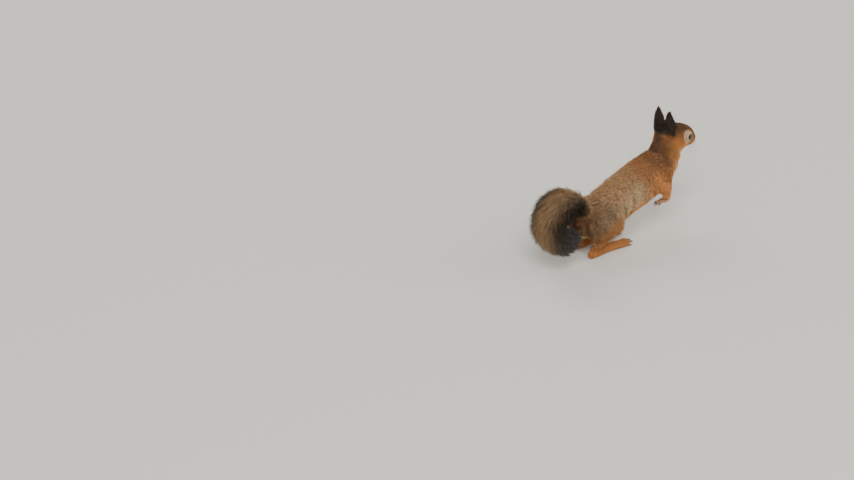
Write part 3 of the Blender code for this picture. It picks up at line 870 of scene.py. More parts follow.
def limb_marks(normals, shares, below):
    """The markings of legs, paws and tail: what a node has all over, pale inner sides and bare soles."""
    marks = {
        "pale": share_of(shares, *LIMBS) * eased(0.45, 0.8, below),
        "bare": 0.9 * share_of(shares, "foot", "hand") * eased(0.6, 0.9, -normals[:, 2]),
    }
    for kind, amounts in NODE_MARKS.items():
        for mask, amount in amounts.items():
            marks[mask] = marks.get(mask, 0) + amount * share_of(shares, kind)
    return marks


def markings(points, normals, shares):
    """The masks of the coat's colours at points, from 0 to 1."""
    below = facing_under(normals, shares) + 0.06 * ruffle(points, 9 * MM)
    lots = (
        head_marks(points, normals, shares, below),
        trunk_marks(points, shares, below),
        limb_marks(normals, shares, below),
    )
    return {mask: np.clip(sum(lot.get(mask, 0) for lot in lots), 0, 1) for mask in MASKS}


def bending(points, normals, lie, edges):
    """How fast the surface turns away along the lie, in radians to a metre: a mean over a vertex's edges."""
    step = points[edges[:, 1]] - points[edges[:, 0]]
    turn = normals[edges[:, 1]] - normals[edges[:, 0]]
    top, bottom = np.zeros(len(points)), np.zeros(len(points))
    for end in (0, 1):
        way = lie[edges[:, end]]
        run = dots(step, way)
        top += np.bincount(edges[:, end], dots(turn, way) * run, len(points))
        bottom += np.bincount(edges[:, end], run**2, len(points))
    return relaxed((top / np.maximum(bottom, 1e-12))[:, None], edges, 10, 0.5)[:, 0]


def lie_over(points, normals, broad, shares, edges):
    """The way the coat lies along the surface: a blend of the nodes' lies, fanned out at eyes and ears."""
    ways = np.array([lie_of(node) for node in NODES])
    trunk = share_of(shares, *TRUNK)[:, None]
    others = node_shares(points, OTHER_BLEND * MM) @ ways
    lie = (1 - trunk) * others + trunk * (node_shares(points, TRUNK_BLEND * MM) @ ways)
    for name, _ in SIDES:
        eye, ear = f"eye_{name}", f"ear_{name}"
        near = 1 - eased(5, 9, gap(points, eye))
        lie = lie + 0.8 * near[:, None] * unit(points - middle(eye))
        off_axis = along_surface(points - middle(ear), lie_of(ear)) / MM
        lie = lie + 0.22 * shares[:, NODES.index(ear), None] * off_axis
    lie = relaxed(along_surface(lie, broad), edges, 12, 0.5)
    return unit(along_surface(lie, normals))


def room_for_hair(points, shares, root_gap):
    """1 where the coat grows, 0 at the eyes, on the nose pad and on the tail, which has its own hair."""
    tail = eased(0.5, 0.8, share_of(shares, "tail")) * eased(10, 14, root_gap)
    return eased(4.6, 5.2, eye_gap(points)) * eased(2.0, 2.6, gap(points, "nose")) * (1 - tail)


def skin_surface(settings):
    """One closed surface inside the flesh nodes, with its vertices' places, its edges and its root gap.

    The nodes are joined, smoothed and drawn in by most of the coat's depth. The tail's core is joined to
    them, and the place where it meets the rump is smoothed again. The root gap is how far, in mm, vertices
    were from the tail's root before that.
    """
    outer = body_of_flesh(settings)
    mesh = outer.data
    points = numbers(mesh.vertices, "co", 3)
    shares = node_shares(points)
    softness = shares @ np.array([SOFTNESS.get(stem(node), TRUNK_SOFTNESS) for node in NODES])
    points = relaxed(points, edges_of(mesh), 45, softness[:, None])
    move(mesh, points)
    depth = SKIN_INSET * coat_numbers(shares, points)[0] + settings.seam_closing
    points = points - numbers(mesh.vertices, "normal", 3) * depth[:, None]
    faces = [tuple(polygon.vertices) for polygon in mesh.polygons]
    obj = new_object("inner", *merged([(points, faces), tail_core(Plume())]))
    bpy.data.objects.remove(outer, do_unlink=True)
    obj.name = "skin"
    voxelled(obj, settings.last_cell)
    keep_largest(obj)
    edges = edges_of(obj.data)
    points = relaxed(numbers(obj.data.vertices, "co", 3), edges, 6, 0.4)
    root_gap = gap(points, "tail_root")
    points = relaxed(points, edges, 60, 0.5 * (1 - eased(11, 20, root_gap))[:, None])
    move(obj.data, points)
    return obj, points, edges, root_gap


def build_skin(settings, colours):
    """The skin, which carries all that the coat reads: lie, bending, sizes, node, markings and room."""
    obj, points, edges, root_gap = skin_surface(settings)
    mesh = obj.data
    mesh.name = "skin"
    normals = numbers(mesh.vertices, "normal", 3)
    broad = unit(relaxed(normals, edges, 12, 0.5))
    shares = node_shares(points)
    lie = lie_over(points, normals, broad, shares, edges)
    store(mesh, "lie", lie, "FLOAT_VECTOR")
    facts = dict(zip(("depth", "length", "width"), coat_numbers(shares, points)))
    facts |= {
        "bending": bending(points, broad, lie, edges) * (1 - share_of(shares, "ear")),
        "node": shares.argmax(axis=1),
        "room": room_for_hair(points, shares, root_gap),
        **markings(points, broad, shares),
    }
    for name, values in facts.items():
        store(mesh, name, values)
    return finished(obj, skin_material(colours), "coat_rufous", *NODES)


# ---- the coat ------------------------------------------------------------------------------------


def inset(share):
    """A share from 0 to 1 drawn in a little, so that patches keep inside their cell."""
    return 0.02 + 0.96 * share


def tuft_plan(rings):
    """One closed, three-sided tuft: its faces' corners, where each face starts, and patch places."""
    corners, starts, patch = [], [], []

    def face(points, places):
        starts.append(len(corners))
        corners.extend(points)
        patch.extend(places)

    face((0, 2, 1), ((0, -0.1), (0.5, -0.3), (1, -0.1)))
    for k in range(rings - 1):
        low, high = k / rings, (k + 1) / rings
        for i in range(3):
            j = (i + 1) % 3
            left, right = i / 3, (i + 1) / 3
            places = ((left, low), (right, low), (right, high), (left, high))
            face((3 * k + i, 3 * k + j, 3 * k + 3 + j, 3 * k + 3 + i), places)
    last, tip, low = 3 * (rings - 1), 3 * rings, (rings - 1) / rings
    for i in range(3):
        left, right = i / 3, (i + 1) / 3
        face((last + i, last + (i + 1) % 3, tip), ((left, low), (right, low), ((left + right) / 2, 1)))
    return np.array(corners), np.array(starts), np.array(patch)


def tufts(name, line, over, width, roots, facts):
    """Tufts as one mesh. Each has triangular rings about its line, flat against the coat, and a sharp tip.

    line is tufts by stations by 3, over is the way a tuft's ridge faces, roots is each tuft's place on the
    unwrapped skin, and facts are what all vertices of a tuft share. Along a tuft, half its width goes as
    0.75 + 0.9 s (1 - s) - 0.35 s, where s is 0 at the root and 1 at the tip.
    """
    count, stations = line.shape[:2]
    rings = stations - 1
    way = unit(np.gradient(line, axis=1))
    aside = unit(np.cross(over[:, None], way))
    out = np.cross(way, aside)
    share = np.arange(rings) / rings
    half = width[:, None] / 2 * (0.75 + 0.9 * share * (1 - share) - 0.35 * share)
    turn = np.radians((90, 210, 330))[:, None]
    ring = np.cos(turn) * aside[:, :rings, None] + RIDGE * np.sin(turn) * out[:, :rings, None]
    ring = line[:, :rings, None] + half[:, :, None, None] * ring
    vertices = np.concatenate([ring.reshape(count, -1, 3), line[:, -1:]], axis=1)
    corners, starts, patch = tuft_plan(rings)
    each = vertices.shape[1]
    mesh = bpy.data.meshes.new(name)
    mesh.vertices.add(count * each)
    mesh.vertices.foreach_set("co", vertices.astype(np.float32).ravel())
    mesh.loops.add(count * len(corners))
    index = (np.arange(count) * each)[:, None] + corners
    mesh.loops.foreach_set("vertex_index", index.astype(np.int32).ravel())
    mesh.polygons.add(count * len(starts))
    first = (np.arange(count) * len(corners))[:, None] + starts
    mesh.polygons.foreach_set("loop_start", first.astype(np.int32).ravel())
    mesh.update(calc_edges=True)
    mesh.validate()
    places = roots[:, None] + PATCH * (patch - 0.5)
    layer = mesh.uv_layers.new(name="OFBake")
    layer.uv.foreach_set("vector", np.clip(places, 0, 1).astype(np.float32).ravel())
    store(mesh, "along", np.tile(np.append(np.repeat(share, 3), 1.0), count))
    for key, values in facts.items():
        store(mesh, key, np.repeat(values, each))
    return linked(name, mesh)


def gathered(line, roots, cell, share):
    """Draws the tufts of a lock together: the tips in a warped cell move a share towards their mean."""
    warp = 0.35 * cell * np.sin(roots[:, [1, 2, 0]] * (2.3 / cell))
    warp = warp + 0.4 * cell * np.cos(roots[:, [2, 0, 1]] / cell)
    key = np.floor((roots + warp) / cell).astype(np.int64) * CELL_PRIMES
    _, lock = np.unique(key[:, 0] ^ key[:, 1] ^ key[:, 2], return_inverse=True)
    size = np.bincount(lock)
    tips = line[:, -1]
    mean = np.stack([np.bincount(lock, tips[:, axis]) / size for axis in range(3)], 1)
    step = np.linspace(0, 1, line.shape[1]) ** 2
    pull = (mean[lock] - tips) * share
    return line + pull[:, None] * step[None, :, None]


def unwrapped(points, lots):
    """Each root's place on its own node's unwrap: its share along the lie, and its turn about it.

    lots are the piece's nodes, each with which points are on it. Every node has a cell of its own.
    """
    cells = math.ceil(math.sqrt(len(lots)))
    places = np.zeros((len(points), 2))
    for index, (node, chosen) in enumerate(lots):
        if not chosen.any():
            continue
        axis = lie_of(node)
        aside = unit(np.cross(axis, (0.13, 0.2, 0.97)))
        over = np.cross(axis, aside)
        local = points[chosen] - middle(node)
        reach = local @ axis
        share = (reach - reach.min()) / max(np.ptp(reach), 1e-9)
        turn = np.arctan2(local @ over, local @ aside) / (2 * math.pi) + 0.5
        cell = np.array([index % cells, index // cells])
        places[chosen] = (cell + inset(np.stack([share, turn], 1))) / cells
    return places


def bend(lie, normal, angle):
    """Turns the lie about the normal by an angle."""
    return lie * np.cos(angle)[:, None] + np.cross(normal, lie) * np.sin(angle)[:, None]


def laid_lines(root, normal, lie, long, deep, curve, stations):
    """Lines that leave the skin, bend over and lie along the body.

    Each is an arc that turns down as the body does, over its length along the lie. It goes off that arc by
    the coat's depth times 1 - (1 - s) squared, where s is 0 at the root and 1 at the tip.
    """
    step = np.linspace(0, 1, stations)
    run = long[:, None] * step**1.15
    turn = np.clip(curve[:, None] * run, -0.8, 1.5)
    over = deep[:, None] * (1 - (1 - step) ** 2) - ROOT_SINK
    along = run * np.sinc(turn / math.pi) + over * np.sin(turn)
    above = over * np.cos(turn) - run * turn / 2 * np.sinc(turn / 2 / math.pi) ** 2
    return root[:, None] + along[..., None] * lie[:, None] + above[..., None] * normal[:, None]


def build_coat(skin, name, kinds, count, rings, slot, settings, material):
    """Tufts on the nodes of these kinds, as dense as their length allows, gathered in locks."""
    rng = np.random.default_rng(SEED + len(name) + count)
    mesh = skin.data
    vertices, normals = numbers(mesh.vertices, "co", 3), numbers(mesh.vertices, "normal", 3)
    node = stored(mesh, "node").astype(int)
    wanted = np.array([stem(n) in kinds for n in NODES])
    triangles = triangles_of(mesh)
    triangles = triangles[wanted[node[triangles[:, 0]]]]
    room = stored(mesh, "room") / stored(mesh, "length")
    picked, shares = scattered(vertices, triangles, count, rng, room[triangles[:, 0]])
    corners = triangles[picked]

    def carried(values):
        return np.einsum("ij,ij...->i...", shares, values[corners])

    root, normal = carried(vertices), unit(carried(normals))
    lie = unit(along_surface(carried(stored(mesh, "lie")), normal))
    wave = np.sin(root @ (310, 120, 260)) * np.sin(root @ (-150, 330, 190) + 1.3)
    lie = bend(lie, normal, np.radians(settings.sway * wave + rng.normal(0, settings.scatter, count)))
    long = carried(stored(mesh, "length")) * rng.uniform(*LENGTHS, count) * settings.length
    deep = carried(stored(mesh, "depth")) * rng.uniform(*DEPTHS, count)
    deep = deep + (rng.random(count) < settings.strays) * long * STRAY_LIFT
    width = carried(stored(mesh, "width")) * rng.uniform(*WIDTHS, count)
    line = laid_lines(root, normal, lie, long, deep, carried(stored(mesh, "bending")), rings + 1)
    line = gathered(line, root, LOCK * long.mean(), settings.gather)
    line[..., 2] = np.maximum(line[..., 2], FLOOR_GAP)
    masks = {}
    for mask in COLOUR_MASKS:
        masks[mask] = np.clip(carried(stored(mesh, mask)) + rng.normal(0, 0.05, count), 0, 1)
    near = node[corners[:, 0]]
    places = unwrapped(root, [(n, near == NODES.index(n)) for n in NODES if stem(n) in kinds])
    obj = tufts(name, line, normal, width, places, {"chance": rng.random(count), **masks})
    return finished(obj, material, slot)


def curves(start, bend_at, end, stations):
    """Quadratic curves (1 - s) squared start + 2 s (1 - s) bend + s squared end, and their s."""
    step = np.linspace(0, 1, stations)[None, :, None]
    line = (1 - step) ** 2 * start[:, None] + 2 * step * (1 - step) * bend_at[:, None]
    return line + step**2 * end[:, None], step


def build_tail(name, start, end, count, settings, material):
    """Long hair that leaves the core, swings out to the sides and sweeps towards the tail's end.

    Each hair is a curve from the core, by a point partway out, to a place on the plume's section farther
    along, most of them near its edge. Past the end they run on along the tail and close to a point.
    """
    rng = np.random.default_rng(SEED + count + len(name))
    plume = Plume()
    share = start + (end - start) * (np.arange(count) + rng.random(count)) / count
    # Turns crowd towards the two sides, reaches towards the edge, and a few hairs stand out.
    turn = rng.uniform(0, 2 * math.pi, count)
    turn = turn - 0.22 * np.sin(2 * turn)
    reach = rng.uniform(0.0, 1.0, count) ** 0.42 * (1 + 0.12 * (rng.random(count) < 0.08))
    root_share = share * 0.94
    radius = core_radius(root_share)
    _, _, depth, _, width = plume.at(root_share)
    root = plume.place(root_share, np.cos(turn) * radius / width, CORE_OUT + np.sin(turn) * radius / depth)
    # Hair sweeps less far near the root and near the end.
    sweep = settings.tail_sweep * rng.uniform(0.65, 1.3, count) * (0.55 + 0.45 * eased(0.0, 0.25, share))
    end_share = root_share + sweep * (1.0 - 0.3 * share)
    mid_share = np.minimum(root_share + 0.3 * (end_share - root_share), TAIL_LAST)
    # Hair inside the arch is longer than outside, most of all near the end, to fill the arch there.
    aside, out = np.cos(turn) * reach, np.sin(turn) * reach
    out = out * np.where(out < 0, 1.5 + 0.7 * eased(0.55, 0.9, share), 1)
    beyond = np.clip(end_share - TAIL_LAST, 0, None)
    end_share = np.minimum(end_share, TAIL_LAST)
    # Past the plume's end a tip runs straight on by this many metres for a whole length beyond.
    run_on = 0.14
    closing = 1 - np.clip(7 * beyond, 0, 0.85)
    turn_end = plume.at(end_share)[0]
    tangent = np.stack([-np.sin(turn_end), np.zeros(count), np.cos(turn_end)], 1)
    tip = plume.place(end_share, aside * closing, out * closing) + tangent * (beyond * run_on)[:, None]
    line, step = curves(root, plume.place(mid_share, aside * 0.75, out * 0.75), tip, 4)
    line = line + rng.normal(0, 0.6 * MM, (count, 1, 3)) * step**2
    line = gathered(line, tip, 6 * MM, 2 * settings.gather)
    over = unit(plume.place(root_share, aside * 2, out * 2) - root)
    wide = rng.uniform(0.5, 1.0, count) * settings.tail_width
    places = inset(np.stack([(share - start) / (end - start), np.mod(turn / 2 / math.pi, 1)], 1))
    # The fringes and the end are really darker; the inner side of the arch, where out is below 0, is darkened
    # as painted shade.
    edge = np.abs(aside) ** 1.6 + 0.5 * np.clip(-out, 0, 1) + 0.5 * eased(0.65, 0.95, share)
    facts = {
        "chance": rng.random(count),
        "edge": np.clip(edge, 0, 1.2),
        "start": 1 - eased(0.02, 0.22, share),
    }
    return finished(tufts(name, line, over, wide, places, facts), material, "coat_dark")


# ---- eyes, nose, claws, whiskers -----------------------------------------------------------------


def eye_axes(side):
    """The way an eye looks, and ahead and up across it."""
    out = unit(np.array([0.26, side * 0.95, 0.13]) @ HEAD_AXES)
    ahead = unit(HEAD_AXES[0] - (HEAD_AXES[0] @ out) * out)
    return out, ahead, np.cross(out, ahead) * side


def eye_radius(name):
    """The radius of an eye's ball."""
    low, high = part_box(f"eye_{name}")
    return (high.x - low.x) / 2


def build_eye(name, side, material):
    """A ball that bulges a little at the cornea.

    Its reach is the radius times 1 + 0.04 exp(-(a / 0.5) squared), where a is the angle off the axis.
    """
    out, ahead, up = eye_axes(side)
    sides = 48
    off = np.linspace(0.03, math.pi - 0.03, 40)
    reach = eye_radius(name) * (1 + 0.04 * np.exp(-((off / 0.5) ** 2)))
    ways = np.cos(off)[:, None, None] * out + np.sin(off)[:, None, None] * circle(sides, ahead, up)
    vertices, faces = lofted(middle(f"eye_{name}") + reach[:, None, None] * ways)
    obj = new_object(f"eyeball_{name}", vertices, faces)
    store(obj.data, "away", np.append(np.repeat(off, sides), (0, math.pi)) / math.pi)
    return finished(obj, material, "eye", f"eye_{name}")


def build_lids(name, side, face, material):
    """A ring round the eye: a rounded margin on the ball, and a skirt that sinks into the skin.

    The opening is an almond, narrow up and down and drawn out to its two corners. The skirt carries short
    pale hair that fans out from the opening and turns back with the head's.
    """
    out, ahead, up = eye_axes(side)
    centre, radius = middle(f"eye_{name}"), eye_radius(name)
    sides = 72
    turn = np.linspace(0, 2 * math.pi, sides, endpoint=False)
    wide, tall = (math.asin(size / 2 / radius) for size in (face.eye_width, face.eye_height))
    opening = tall + (wide - tall) * np.abs(np.cos(turn)) ** 3
    # Shares of the way from the margin to the skirt's end: over the crest and back underneath.
    share = np.array([0.0, -0.02, 0.03, 0.1, 0.22, 0.4, 0.6, 0.8, 1.0, 0.7, 0.3, 0.05])
    off_ball = np.array([0.05, 0.25, 0.45, 0.55, 0.6, 0.6, 0.5, 0.2, -0.4, -0.6, -0.5, -0.3]) * MM
    angle = opening[:, None] + (LID_SKIRT - opening[:, None]) * share
    ways = np.sin(angle)[..., None] * circle(sides, ahead, up)[:, None]
    ways = np.cos(angle)[..., None] * out + ways
    obj = new_object(f"eyelids_{name}", *looped(centre + (radius + off_ball)[None, :, None] * ways))
    mesh = obj.data
    away = numbers(mesh.vertices, "co", 3) - centre
    fan = unit(away - (away @ out)[:, None] * out)
    lie = 0.7 * fan - 0.75 * HEAD_AXES[0]
    store(mesh, "lie", unit(along_surface(lie, unit(away))), "FLOAT_VECTOR")
    upper = np.arange(len(share)) <= share.argmax()
    facts = {
        **dict.fromkeys(MASKS, 0.0),
        **LID_COAT,
        "rim": 1 - eased(0.03, 0.12, share),
        "room": upper & (share > 0.02),
        "node": NODES.index("head"),
    }
    for key, value in facts.items():
        store(mesh, key, np.tile(np.broadcast_to(value, len(share)), sides))
    return finished(obj, material, "bare_skin")


def build_nose(material):
    """An oval pad, wider above than below, pressed in by bell curves at two nostrils and down its middle."""
    off = np.linspace(0.04, math.pi - 0.04, 40)
    turn = np.linspace(0, 2 * math.pi, 56, endpoint=False)
    ahead = np.cos(off)[:, None] * np.ones_like(turn)
    aside = np.sin(off)[:, None] * np.cos(turn)
    up = np.sin(off)[:, None] * np.sin(turn)
    # Places on a ball of radius 1: what is pressed in is on its front.
    front = eased(-0.1, 0.3, ahead)
    nostril = np.exp(-(((np.abs(aside) - 0.55 - 0.25 * up) / 0.2) ** 2) - (((up + 0.1) / 0.2) ** 2))
    groove = np.exp(-((aside / 0.09) ** 2)) * (1 - eased(-0.1, 0.35, up))
    shrink = 1 - front * (0.32 * nostril + 0.12 * groove)
    grid = np.stack([ahead, aside * (1 + 0.18 * up), up], -1) * shrink[..., None] * NOSE_RADII
    vertices, faces = lofted(middle("nose") + (grid + NOSE_SHIFT) * MM @ HEAD_AXES)
    return finished(new_object("nose_pad", vertices, faces), material, "bare_skin", "nose")


def tube(line, radius, sides, over):
    """A closed tube along a line, with a radius at each station and one way that is always across it."""
    way = unit(np.gradient(line, axis=0))
    aside = unit(np.cross(way, over))
    return lofted(line[:, None] + radius[:, None, None] * circle(sides, aside, np.cross(aside, way)))


def build_mouth(skin, material):
    """The split under the nose and the line of the lips: dark threads laid on the nearest skin."""
    points = numbers(skin.data.vertices, "co", 3)
    normals = numbers(skin.data.vertices, "normal", 3)
    parts = []
    lips = [np.array(LIP) * (1, side, 1) for _, side in SIDES]
    for stations in [*lips, np.array(LIP_SPLIT)]:
        step = np.linspace(0, len(stations) - 1, 22)
        wanted = np.stack([np.interp(step, np.arange(len(stations)), c) for c in stations.T], 1)
        # Each place goes to a mean of the skin near it, by a bell curve of the distance.
        away = np.linalg.norm(on_head(wanted)[:, None] - points[None], axis=2)
        share = np.exp(-((away / (1.2 * MM)) ** 2)) * (away < away.min(1, keepdims=True) + 1.5 * MM)
        share = share / share.sum(1, keepdims=True)
        line = share @ points + unit(share @ normals) * 0.25 * MM
        for _ in range(3):
            line[1:-1] = (line[:-2] + 2 * line[1:-1] + line[2:]) / 4
        radius = 0.24 * MM * np.sin(np.linspace(0.12, 0.94, len(line)) * math.pi) ** 0.5
        parts.append(tube(line, radius, 8, HEAD_AXES[2] if stations[-1, 1] else HEAD_AXES[1]))
    return finished(new_object("mouth", *merged(parts)), material, "bare_skin")


def paw_frame(kind, name, side):
    """The paw's origin and its ahead, outward and up, from the box of its node."""
    low, high = (np.array(corner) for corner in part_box(f"{kind}_{name}"))
    # The origin is at the heel or the wrist, a little inside the box's faces.
    if kind == "foot":
        turn = math.radians(-side)
        ahead = np.array([math.cos(turn), math.sin(turn), 0.0])
        up = np.array([0.0, 0.0, 1.0])
        origin = np.array([low[0] + 2.7 * MM, (low[1] + high[1]) / 2 + side * 0.85 * MM, -0.5 * MM])
        return origin, ahead, np.cross(up, ahead), up
    ahead = unit((-0.93, side * -0.30, -0.12))
    aside = unit(np.cross((0.3, 0, 1), ahead))
    outer = high[1] if side > 0 else low[1]
    origin = np.array([high[0] - 0.65 * MM, outer - side * 4.15 * MM, high[2] - 2.1 * MM])
    return origin, ahead, aside, np.cross(ahead, aside)


def horn_piece(name, parts, step, sides, material):
    """Lofted claws or bristles as one piece. Each vertex knows how far along its own it is."""
    obj = new_object(name, *merged(parts))
    store(obj.data, "along", np.tile(np.append(np.repeat(step, sides), (0, 1)), len(parts)))
    return finished(obj, material, "claw")


def build_claws(kind, name, side, material):
    """A claw for each digit: an oval section that tapers along a line which bends down by its square."""
    origin, ahead, outward, up = paw_frame(kind, name, side)
    spread = side if kind == "foot" else 1
    dip, lift, size, curl = CLAWS[kind]
    sides = 12
    step = np.linspace(0, 1, 9)
    slim = (1 - step[:, None]) ** 0.75
    wide, tall = (0.12 + 0.5 * slim) * MM, (0.14 + 0.78 * slim) * MM
    parts = []
    for share, aside, degrees, length, radius in DIGITS[kind]:
        angle = math.radians(degrees)
        way = unit(math.cos(angle) * ahead + math.sin(angle) * spread * outward + dip * up)
        root = origin + (PAW_LENGTH[kind] * share * ahead + aside * spread * outward + lift * up) * MM
        # The claw starts inside the digit's round end, a little above its middle.
        start = root + way * (length - radius * 1.25) * MM + up * 0.25 * MM
        side_way = unit(np.cross(up, way))
        over = np.cross(way, side_way)
        line = start + (step[:, None] * way - curl * step[:, None] ** 2 * over) * size * MM
        parts.append(lofted(line[:, None] + circle(sides, wide * side_way, tall * over)))
    return horn_piece(f"claws_{kind}_{name}", parts, step, sides, material)


def build_whiskers(face, material):
    """Tapering bristles: a line that leaves the pad outwards and bends back along the cheek by its square."""
    rng = np.random.default_rng(SEED)
    sides = 5
    step = np.linspace(0, 1, 10)
    parts = []
    for _, side in SIDES:
        for index, root in enumerate(PAD_WHISKERS + OTHER_WHISKERS):
            row, place = divmod(index, 4)
            on_pad = index < len(PAD_WHISKERS)
            size = face.whisker * (rng.uniform(0.65, 1.0) if on_pad else 0.45) / MM
            way = unit((-0.25 - 0.14 * place, side * 0.62, 0.1 - 0.2 * row if on_pad else 0.8))
            bow = np.array([-0.38, -side * 0.10, -0.14]) * rng.uniform(0.8, 1.3)
            bent = step[:, None] * way + step[:, None] ** 2 * bow
            line = on_head(np.array(root) * (1, side, 1) + size * bent)
            parts.append(tube(line, (0.11 - 0.09 * step) * MM, sides, HEAD_AXES[2]))
    return horn_piece("whiskers", parts, step, sides, material)


# ---- the stage -----------------------------------------------------------------------------------


def build_floor(colours):
    """A wide flat square at the height of the feet."""
    size = 8.0
    corners = np.array([(-size, -size, 0), (size, -size, 0), (size, size, 0), (-size, size, 0)])
    floor = new_object("floor", corners, [(0, 1, 2, 3)])
    shader = Shader("floor", Specular_IOR_Level=0.2)
    floor.data.materials.append(shader.painted((*colours.floor, 1.0), 0.85))


def placed(right, up, back, place):
    """The matrix of an object with these three axes at this place."""
    columns = np.array([right, up, back, place]).T
    return Matrix(columns.tolist() + [[0, 0, 0, 1]])


def build_camera(stage):
    """A long lens that looks along the given azimuth and elevation at a point beside the model."""
    azimuth, elevation = stage.azimuth, stage.elevation
    right = np.array([math.cos(azimuth), math.sin(azimuth), 0.0])
    level = np.array([math.sin(azimuth), -math.cos(azimuth), 0.0])
    back = math.cos(elevation) * level + math.sin(elevation) * np.array([0.0, 0.0, 1.0])
    up = np.cross(back, right)
    aim = -right * stage.aside + up * stage.above
    data = bpy.data.cameras.new("camera")
    data.lens = data.sensor_width * stage.distance / stage.field
    data.clip_end = 100.0
    camera = linked("camera", data)
    camera.matrix_world = placed(right, up, back, aim + back * stage.distance)
    bpy.context.scene.camera = camera


# Name, place, size across and power.
LIGHTS = (
    ("key", (-1.4, -1.6, 2.6), 1.8, 68),
    ("fill", (1.8, -1.8, 1.2), 2.2, 24),
    ("rim", (0.6, 2.2, 1.8), 1.5, 22),
)


def build_light(name, place, size, power):
    """A square area light that faces the model."""
    data = bpy.data.lights.new(name, "AREA")
    data.energy, data.size = power, size
    back = unit(place)
    right = unit(np.cross((0, 0, 1), back))
    linked(name, data).matrix_world = placed(right, np.cross(back, right), back, place)


def build_world(stage):
    """Even, slightly warm light from all round."""
    world = bpy.data.worlds.new("studio")
    world.use_nodes = True
    background = world.node_tree.nodes["Background"]
    background.inputs["Color"].default_value = (1.0, 0.98, 0.95, 1.0)
    background.inputs["Strength"].default_value = stage.sky
    bpy.context.scene.world = world


# ---- the add-on ----------------------------------------------------------------------------------


def number_property(name, description, default, **more):
    """A number of the add-on."""
    return bpy.props.FloatProperty(name=name, description=description, default=default, **more)


def length_property(name, description, default):
    """A length of the add-on, in metres."""
    return number_property(name, description, default, unit="LENGTH", precision=5)


def colour_property(name, description, *channels):
    """A colour of the add-on, from 0 to 255 for each channel."""
    colour = dict(default=linear(*channels), subtype="COLOR", size=3, min=0, max=1)
    return bpy.props.FloatVectorProperty(name=name, description=description, **colour)


class SquirrelColours(bpy.types.PropertyGroup):
    brown: colour_property("Brown", "Back, shoulders and crown", 158, 106, 60)
    grey: colour_property("Grey", "Flanks, loins and thighs", 184, 155, 116)
    warm: colour_property("Warm", "Cheeks, throat, forelegs, feet and a line on the flank", 232, 146, 64)
    pale: colour_property("Pale", "Belly, ring round the eye and inner sides of the legs", 224, 196, 156)
    dark: colour_property("Dark", "Ears, nape, crown and bridge of the nose", 38, 26, 17)
    bare: colour_property("Bare", "Inside of the ears and soles", 168, 112, 92)
    tail_brown: colour_property("Tail brown", "Roots and middle line of the tail's hair", 162, 130, 92)
    # Tail black also paints the shade inside the tail's arch.
    tail_black: colour_property("Tail black", "Tips and fringes of the tail's hair", 42, 31, 22)
    iris: colour_property("Iris", "Iris of the eye and tips of the whiskers", 52, 30, 16)
    nose: colour_property("Nose", "Nose pad and margins of the lids", 42, 28, 24)
    horn: colour_property("Horn", "Claws", 58, 44, 34)
    floor: colour_property("Floor", "The floor under the model", 226, 222, 214)


class SquirrelSkin(bpy.types.PropertyGroup):
    seam_closing: length_property("Seam closing", "How far nodes swell to close their seams", 0.26 * MM)
    first_cell: length_property("First cell", "Voxel size while the nodes are joined", 0.8 * MM)
    last_cell: length_property("Last cell", "Voxel size of the finished skin", 0.66 * MM)


class SquirrelCoat(bpy.types.PropertyGroup):
    length: number_property("Length", "Scale of every tuft's length", 1.0)
    sway: number_property("Sway", "Degrees that the lie waves", 6.0)
    scatter: number_property("Scatter", "Degrees that one tuft strays", 7.0)
    strays: number_property("Strays", "Share of tufts that stand out", 0.05)
    gather: number_property("Gather", "How far locks draw together, and half as far as the tail's", 0.2)
    tail_sweep: number_property("Tail sweep", "How far a hair runs on, as a share of the tail", 0.13)
    tail_width: length_property("Tail hair", "Widest tuft of the tail", 1.1 * MM)


class SquirrelFace(bpy.types.PropertyGroup):
    eye_width: length_property("Eye width", "Opening of the lids from corner to corner", 6.7 * MM)
    eye_height: length_property("Eye height", "Opening of the lids up and down", 5.9 * MM)
    whisker: length_property("Whisker", "Longest whisker", 30 * MM)


class SquirrelStage(bpy.types.PropertyGroup):
    azimuth: number_property("Azimuth", "Camera's turn about the model", math.radians(-43), subtype="ANGLE")
    elevation: number_property("Elevation", "Camera's height as an angle", math.radians(27), subtype="ANGLE")
    distance: length_property("Distance", "Camera to the point that it looks at", 6.0)
    field: length_property("Field", "Width of the view at the model", 0.854)
    aside: length_property("Aside", "How far the view's middle is to the left of the model's", 0.1903)
    above: length_property("Above", "How far the view's middle is above the model's foot", 0.0008)
    sky: number_property("Sky", "Strength of the even light", 0.6)


class SQUIRREL_OT_skin(bpy.types.Operator):
    """Make the skin, one surface for head, body, legs, paws, ears and the tail's core"""

    bl_idname = "squirrel.skin"
    bl_label = "Skin"

    def execute(self, context):
        build_skin(context.scene.squirrel_skin, context.scene.squirrel_colours)
        return {"FINISHED"}


class SQUIRREL_OT_coat(bpy.types.Operator):
    """Grow the tufts of head, body, legs, paws and ears on the skin"""

    bl_idname = "squirrel.coat"
    bl_label = "Coat"

    def execute(self, context):
        material = coat_material(context.scene.squirrel_colours)
        settings = context.scene.squirrel_coat
        for name, kinds, count, rings, slot in COAT_PIECES:
            build_coat(bpy.data.objects["skin"], name, kinds, count, rings, slot, settings, material)
        for name, _ in SIDES:
            lids, coat = bpy.data.objects[f"eyelids_{name}"], f"coat_eyelids_{name}"
            build_coat(lids, coat, ("head",), LID_TUFTS, 2, "coat_rufous", settings, material)
        return {"FINISHED"}


class SQUIRREL_OT_tail(bpy.types.Operator):
    """Grow the long hair of the tail"""

    bl_idname = "squirrel.tail"
    bl_label = "Tail hair"

    def execute(self, context):
        material = tail_material(context.scene.squirrel_colours)
        for name, start, end, count in TAIL_PIECES:
            build_tail(name, start, end, count, context.scene.squirrel_coat, material)
        return {"FINISHED"}


